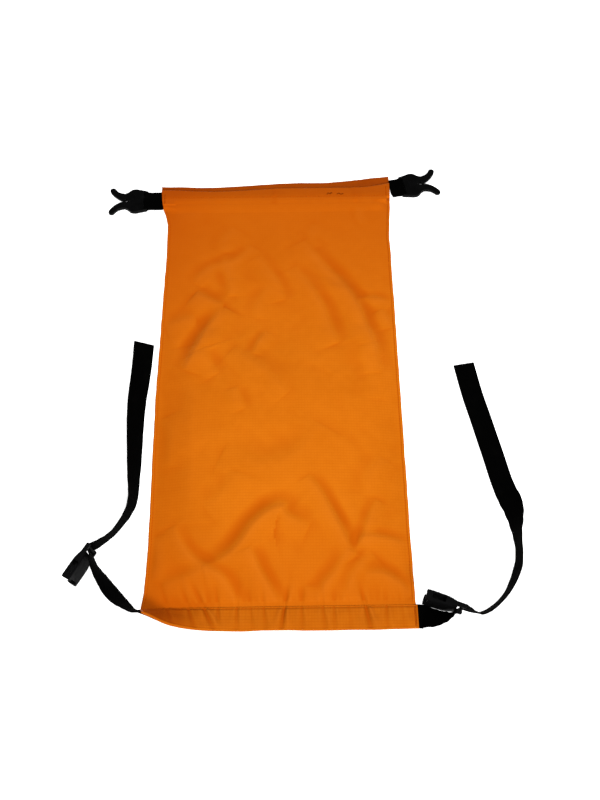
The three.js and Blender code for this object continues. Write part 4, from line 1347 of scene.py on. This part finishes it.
# The left root turns up with the corner of the hem.
root_turn = np.radians(hem_turn(LEFT_ROOT_X))
left_root_axes = (np.stack([0 * root_turn, -np.cos(root_turn), np.sin(root_turn)], -1),
                  np.stack([0 * root_turn, -np.sin(root_turn), -np.cos(root_turn)], -1))
strap("left", LEFT_STRAP, LEFT_ROOT_X, start=(-147.2, 18.0, 0), end=(-156.4, 22.0, 0),
      root_axes=left_root_axes)
strap("right", RIGHT_STRAP, RIGHT_ROOT_X, start=(145.2, 11, 0), end=(155.4, 11, 0), phase=3.0)


def place_on_tab(tab, points):
    """From a tab's frame (along, across, up) to the bag's."""
    turn = math.radians(tab["turn"])
    u, v, z = points[..., 0], points[..., 1], points[..., 2]
    return np.stack([tab["x"] + u * math.cos(turn) - v * math.sin(turn),
                     tab["y"] + u * math.sin(turn) + v * math.cos(turn), z], -1)


def tab_webbing(side, tab):
    """Doubled webbing round the male half's crossbar."""
    radius = BAR_RADIUS + 0.2 + WEB_THICK / 2
    layer_z = 0.63
    bar, root = tab["bar"], tab["root"]
    angle = np.radians(np.linspace(98, -98, 21))
    loop_u, loop_z = bar + radius * np.cos(angle), radius * np.sin(angle)
    flat_u = np.linspace(root, bar - 9, 18)
    flat_z = np.full(18, layer_z)
    share = np.linspace(0, 1, 9)[1:-1]
    ease_u = (bar - 9) + share * (loop_u[0] - (bar - 9))
    ease_z = layer_z + smooth(share) * (loop_z[0] - layer_z)
    u = np.r_[flat_u, ease_u, loop_u, ease_u[::-1], flat_u[::-1]]
    z = np.r_[flat_z, ease_z, loop_z, -ease_z[::-1], -flat_z]
    centres = place_on_tab(tab, np.stack([u, 0 * u, z + BUCKLE_Z], -1))
    turn = np.radians(tab["turn"])
    across = np.tile([-math.sin(turn), math.cos(turn), 0.0], (len(u), 1))
    facing = np.cross(np.gradient(centres, axis=0), across)
    # Gathered at the root, slightly narrower round the bar.
    spread = 0.72 + 0.40 * smooth((u - root) / 1.2) - 0.05 * smooth((u - bar + 12) / 9)
    ob = band(side + "_tab_webbing", centres, across, facing,
              width=24.0, thick=1.15, step=0.5, spread=spread)
    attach(ob, "mouth")
    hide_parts(side + "_buckle_tab")


for side, tab in TABS.items():
    tab_webbing(side, tab)


# ------------------------------------------------------------------ buckles
def cut_corners(points):
    """Rounds a closed outline by cutting its corners twice."""
    points = np.asarray(points, float)
    cut = 0.2
    for _ in range(2):
        after = np.roll(points, -1, 0)
        points = np.stack([points * (1 - cut) + after * cut,
                           points * cut + after * (1 - cut)], 1).reshape(-1, 2)
    return points


def moulded_plate(outline, thick, bevel):
    """Verts and faces of a plate with rounded edges, in its own frame."""
    curve = bpy.data.curves.new("outline_tmp", "CURVE")
    curve.dimensions = "2D"
    curve.fill_mode = "BOTH"
    curve.extrude = thick / 2 - bevel
    curve.bevel_depth = bevel
    curve.bevel_resolution = 3
    curve.offset = -bevel
    polyline = curve.splines.new("POLY")
    polyline.points.add(len(outline) - 1)
    for point, (x, y) in zip(polyline.points, outline):
        point.co = (x, y, 0, 1)
    polyline.use_cyclic_u = True
    ob = link_object("outline_tmp", curve)
    mesh = evaluated_mesh(ob)
    bm = bmesh.new()
    bm.from_mesh(mesh)
    bmesh.ops.remove_doubles(bm, verts=bm.verts, dist=1e-4)
    bmesh.ops.recalc_face_normals(bm, faces=bm.faces)
    bm.verts.ensure_lookup_table()
    verts = np.array([tuple(vert.co) for vert in bm.verts])
    faces = [tuple(vert.index for vert in face.verts) for face in bm.faces]
    bm.free()
    bpy.data.objects.remove(ob)
    bpy.data.curves.remove(curve)
    bpy.data.meshes.remove(mesh)
    return verts, faces


def evaluated_mesh(ob):
    bpy.context.view_layer.update()
    return bpy.data.meshes.new_from_object(
        ob.evaluated_get(bpy.context.evaluated_depsgraph_get()))


def soft_shade(ob, degrees=34):
    """Smooth shading with the sharper edges kept."""
    with editing(ob.data) as bm:
        for edge in bm.edges:
            edge.smooth = not (len(edge.link_faces) == 2
                               and edge.calc_face_angle(0) > math.radians(degrees))
        for face in bm.faces:
            face.smooth = True


def place_moulding(tab, points):
    """Places male half points, whose origin is BAR_BACK beyond the crossbar."""
    return place_on_tab(tab, points + np.array([tab["bar"] + BAR_BACK, 0, BUCKLE_Z]))


# Outlines of the male half, as (along, across).
YOKE_SIDE = [
    (-13.4, 13.9), (-12.6, 14.7), (-8, 15.8), (-3, 16.9), (1.2, 18), (6, 17.8), (9.4, 16),
    (12.6, 12.6), (16.5, 11.2)]
YOKE_NOTCH = [(16.5, -3.6), (13.4, -1.5), (11.4, -1.3), (9.6, 0), (11.4, 1.3), (13.4, 1.5),
              (16.5, 3.6)]
YOKE_INSIDE = [(-12.8, 13.3), (-9.0, 13.2), (-8.0, 12.4)]
PRONG = [
    (14.2, 1.5), (16.9, 0.9), (19.5, 1.2), (24, 3), (29.5, 7.0), (34.6, 12.4), (36.6, 16.2),
    (36.4, 19.0), (33.8, 20.6), (30.4, 20.0), (27.8, 16.6), (24.9, 13.7), (21, 12.2),
    (16.9, 11.3), (14.2, 11.2)]
RIBS = [(-4.6, 12.2), (-1.6, 12.8), (1.4, 13.4), (4.4, 12.6)]  # along, half length


def mirrored(points):
    return [(u, -v) for u, v in points]


def male_frame(side, tab):
    """A yoke: two arms that hold the crossbar, and a base plate that carries the prongs."""
    outline = (mirrored(YOKE_SIDE) + YOKE_NOTCH + YOKE_SIDE[::-1]
               + YOKE_INSIDE + mirrored(YOKE_INSIDE[::-1]))
    parts = Gather()
    parts.add(*moulded_plate(cut_corners(outline), thick=5.0, bevel=0.75))

    def rod(along, half, z, **shape):
        across = np.linspace(-half, half, 9)
        parts.tube(np.stack([0 * across + along, across, 0 * across + z], -1), **shape)

    rod(-BAR_BACK, 14.4, 0, radius=BAR_RADIUS, sides=20, taper=False)
    for z in (-2.3, 2.3):
        for along, half in RIBS:
            rod(along, half, z, radius=0.5, sides=8)
    verts = place_moulding(tab, np.concatenate(parts.verts))
    ob = new_object(side + "_male_body", verts, parts.faces, [PLASTIC])
    soft_shade(ob)
    register(ob, "buckle_plastic", ride=side + "_male", replaces=[side + "_male_frame"])


def prong(side, tab, which, mirror):
    outline = mirrored(PRONG)[::-1] if mirror else PRONG
    verts, faces = moulded_plate(cut_corners(outline), thick=4.4, bevel=0.9)
    # The catch thins towards its tip.
    verts[:, 2] *= 1 - 0.22 * smooth((verts[:, 0] - 30) / 5)
    ob = new_object(f"{side}_{which}_catch", place_moulding(tab, verts), faces, [PLASTIC])
    soft_shade(ob)
    start, end = (place_moulding(tab, np.array([along, 0.0, 0.0])) for along in (15.9, 18.6))
    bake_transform(ob, side + "_male", f"{side}_{which}_prong",
             start=metres(*start), end=metres(*end))
    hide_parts(f"{side}_male_{which}_prong")


def female(side):
    """The receiving half: the CAD solid with its facets joined and every edge rounded."""
    name = side + "_female_half"
    node = side + "_female_buckle"
    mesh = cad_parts[node].data.copy()
    mesh.name = name
    for key in [a.name for a in mesh.attributes if a.name.startswith("custom_normal")]:
        mesh.attributes.remove(mesh.attributes[key])
    with editing(mesh) as bm:
        bmesh.ops.remove_doubles(bm, verts=bm.verts, dist=3e-6)
        bmesh.ops.dissolve_limit(bm, angle_limit=math.radians(1.2), verts=bm.verts,
                                 edges=bm.edges, use_dissolve_boundaries=False)
        bmesh.ops.recalc_face_normals(bm, faces=bm.faces)
        for face in bm.faces:
            face.smooth = True
    mesh.materials.clear()
    # The female halves take the moulding copy darkened as painted shade.
    mesh.materials.append(PLASTIC_SHADED)
    ob = link_object(name, mesh)
    rounding = ob.modifiers.new("round", "BEVEL")
    rounding.width = 0.55 * MM
    rounding.segments = 3
    rounding.limit_method = "ANGLE"
    rounding.angle_limit = math.radians(26)
    rounding.use_clamp_overlap = True
    rounding.harden_normals = False
    rounded = evaluated_mesh(ob)
    ob.modifiers.clear()
    ob.data = rounded
    soft_shade(ob, degrees=40)
    register(ob, "buckle_plastic", ride=side + "_female", replaces=[node])


for side, tab in TABS.items():
    male_frame(side, tab)
for side, tab in TABS.items():
    # The left half points the other way, so its upper prong is the mirrored one.
    prong(side, tab, "upper", mirror=side == "left")
    prong(side, tab, "lower", mirror=side == "right")
for side in TABS:
    female(side)


# ------------------------------------------------------------------ floor, lights, camera (metres)
def floor_material():
    shader = Shader("floor_white")
    place = shader.node("TexCoord", "Object")
    cloud = shader.noise(place, scale=3.0, detail=2.0, roughness=0.55)
    shader.surface(
        Base_Color=shader.ramp(cloud, [(0.3, (0.93, 0.93, 0.93)), (0.7, (0.95, 0.95, 0.95))]),
        Roughness=0.9, Specular_IOR_Level=0.1,
        Emission_Color=(1.0, 1.0, 1.0), Emission_Strength=0.22)
    # Seen from below the floor is clear, so that the back of the bag can be looked at.
    from_below = (shader.node("NewGeometry", "Backfacing")
                  * shader.node("LightPath", "Is Camera Ray"))
    mix = shader.nodes.new("ShaderNodeMixShader")
    feed(mix.inputs[0], from_below)
    feed(mix.inputs[1], Value(shader.principled.outputs[0]))
    feed(mix.inputs[2], shader.node("BsdfTransparent", 0))
    feed(shader.nodes["Material Output"].inputs["Surface"], Value(mix.outputs[0]))
    return shader.material


def build_floor():
    half, z = 6, -0.0004
    corners = [(-half, -half, z), (half, -half, z), (half, half, z), (-half, half, z)]
    mesh = bpy.data.meshes.new("floor")
    mesh.from_pydata(corners, [], [(0, 1, 2, 3)])
    mesh.materials.append(floor_material())
    link_object("floor", mesh)


def build_world():
    """White surroundings: dim as a light, near white where the camera sees them."""
    light_strength, camera_extra = 0.45, 0.5
    world = bpy.data.worlds.new("studio")
    bpy.context.scene.world = world
    world.use_nodes = True
    nodes = world.node_tree.nodes
    background = nodes["Background"]
    feed(background.inputs[0], (1.0, 1.0, 1.0))
    seen = Value(nodes.new("ShaderNodeLightPath").outputs["Is Camera Ray"])
    feed(background.inputs[1], seen.op("MULTIPLY_ADD", camera_extra, light_strength))


def area_light(name, location, target, size, power):
    light = bpy.data.lights.new(name, "AREA")
    light.shape = "RECTANGLE"
    light.size, light.size_y = size
    light.energy = power
    ob = link_object(name, light)
    ob.location = location
    aim = Vector(target) - Vector(location)
    ob.rotation_euler = aim.to_track_quat("-Z", "Y").to_euler()


def build_camera():
    camera = bpy.data.cameras.new("camera")
    camera.lens = 39.375
    camera.sensor_width = 36
    camera.clip_start, camera.clip_end = 0.01, 20
    ob = link_object("camera", camera)
    ob.location = (0.018355, -0.168879, 0.926017)
    ob.rotation_euler = (math.radians(25.0142), 0, math.radians(-0.84058))
    bpy.context.scene.camera = ob


build_floor()
build_world()
area_light("key_soft", location=(0.9, -3.1, 3.3), target=(0.02, 0.28, 0), size=(1.7, 1.3),
           power=205)
area_light("top_soft", location=(0.05, 0.30, 0.95), target=(0.04, 0.3, 0), size=(0.5, 0.5),
           power=6.5)
build_camera()
bpy.context.scene.view_settings.view_transform = "Standard"
bpy.context.scene.view_settings.look = "Medium High Contrast"
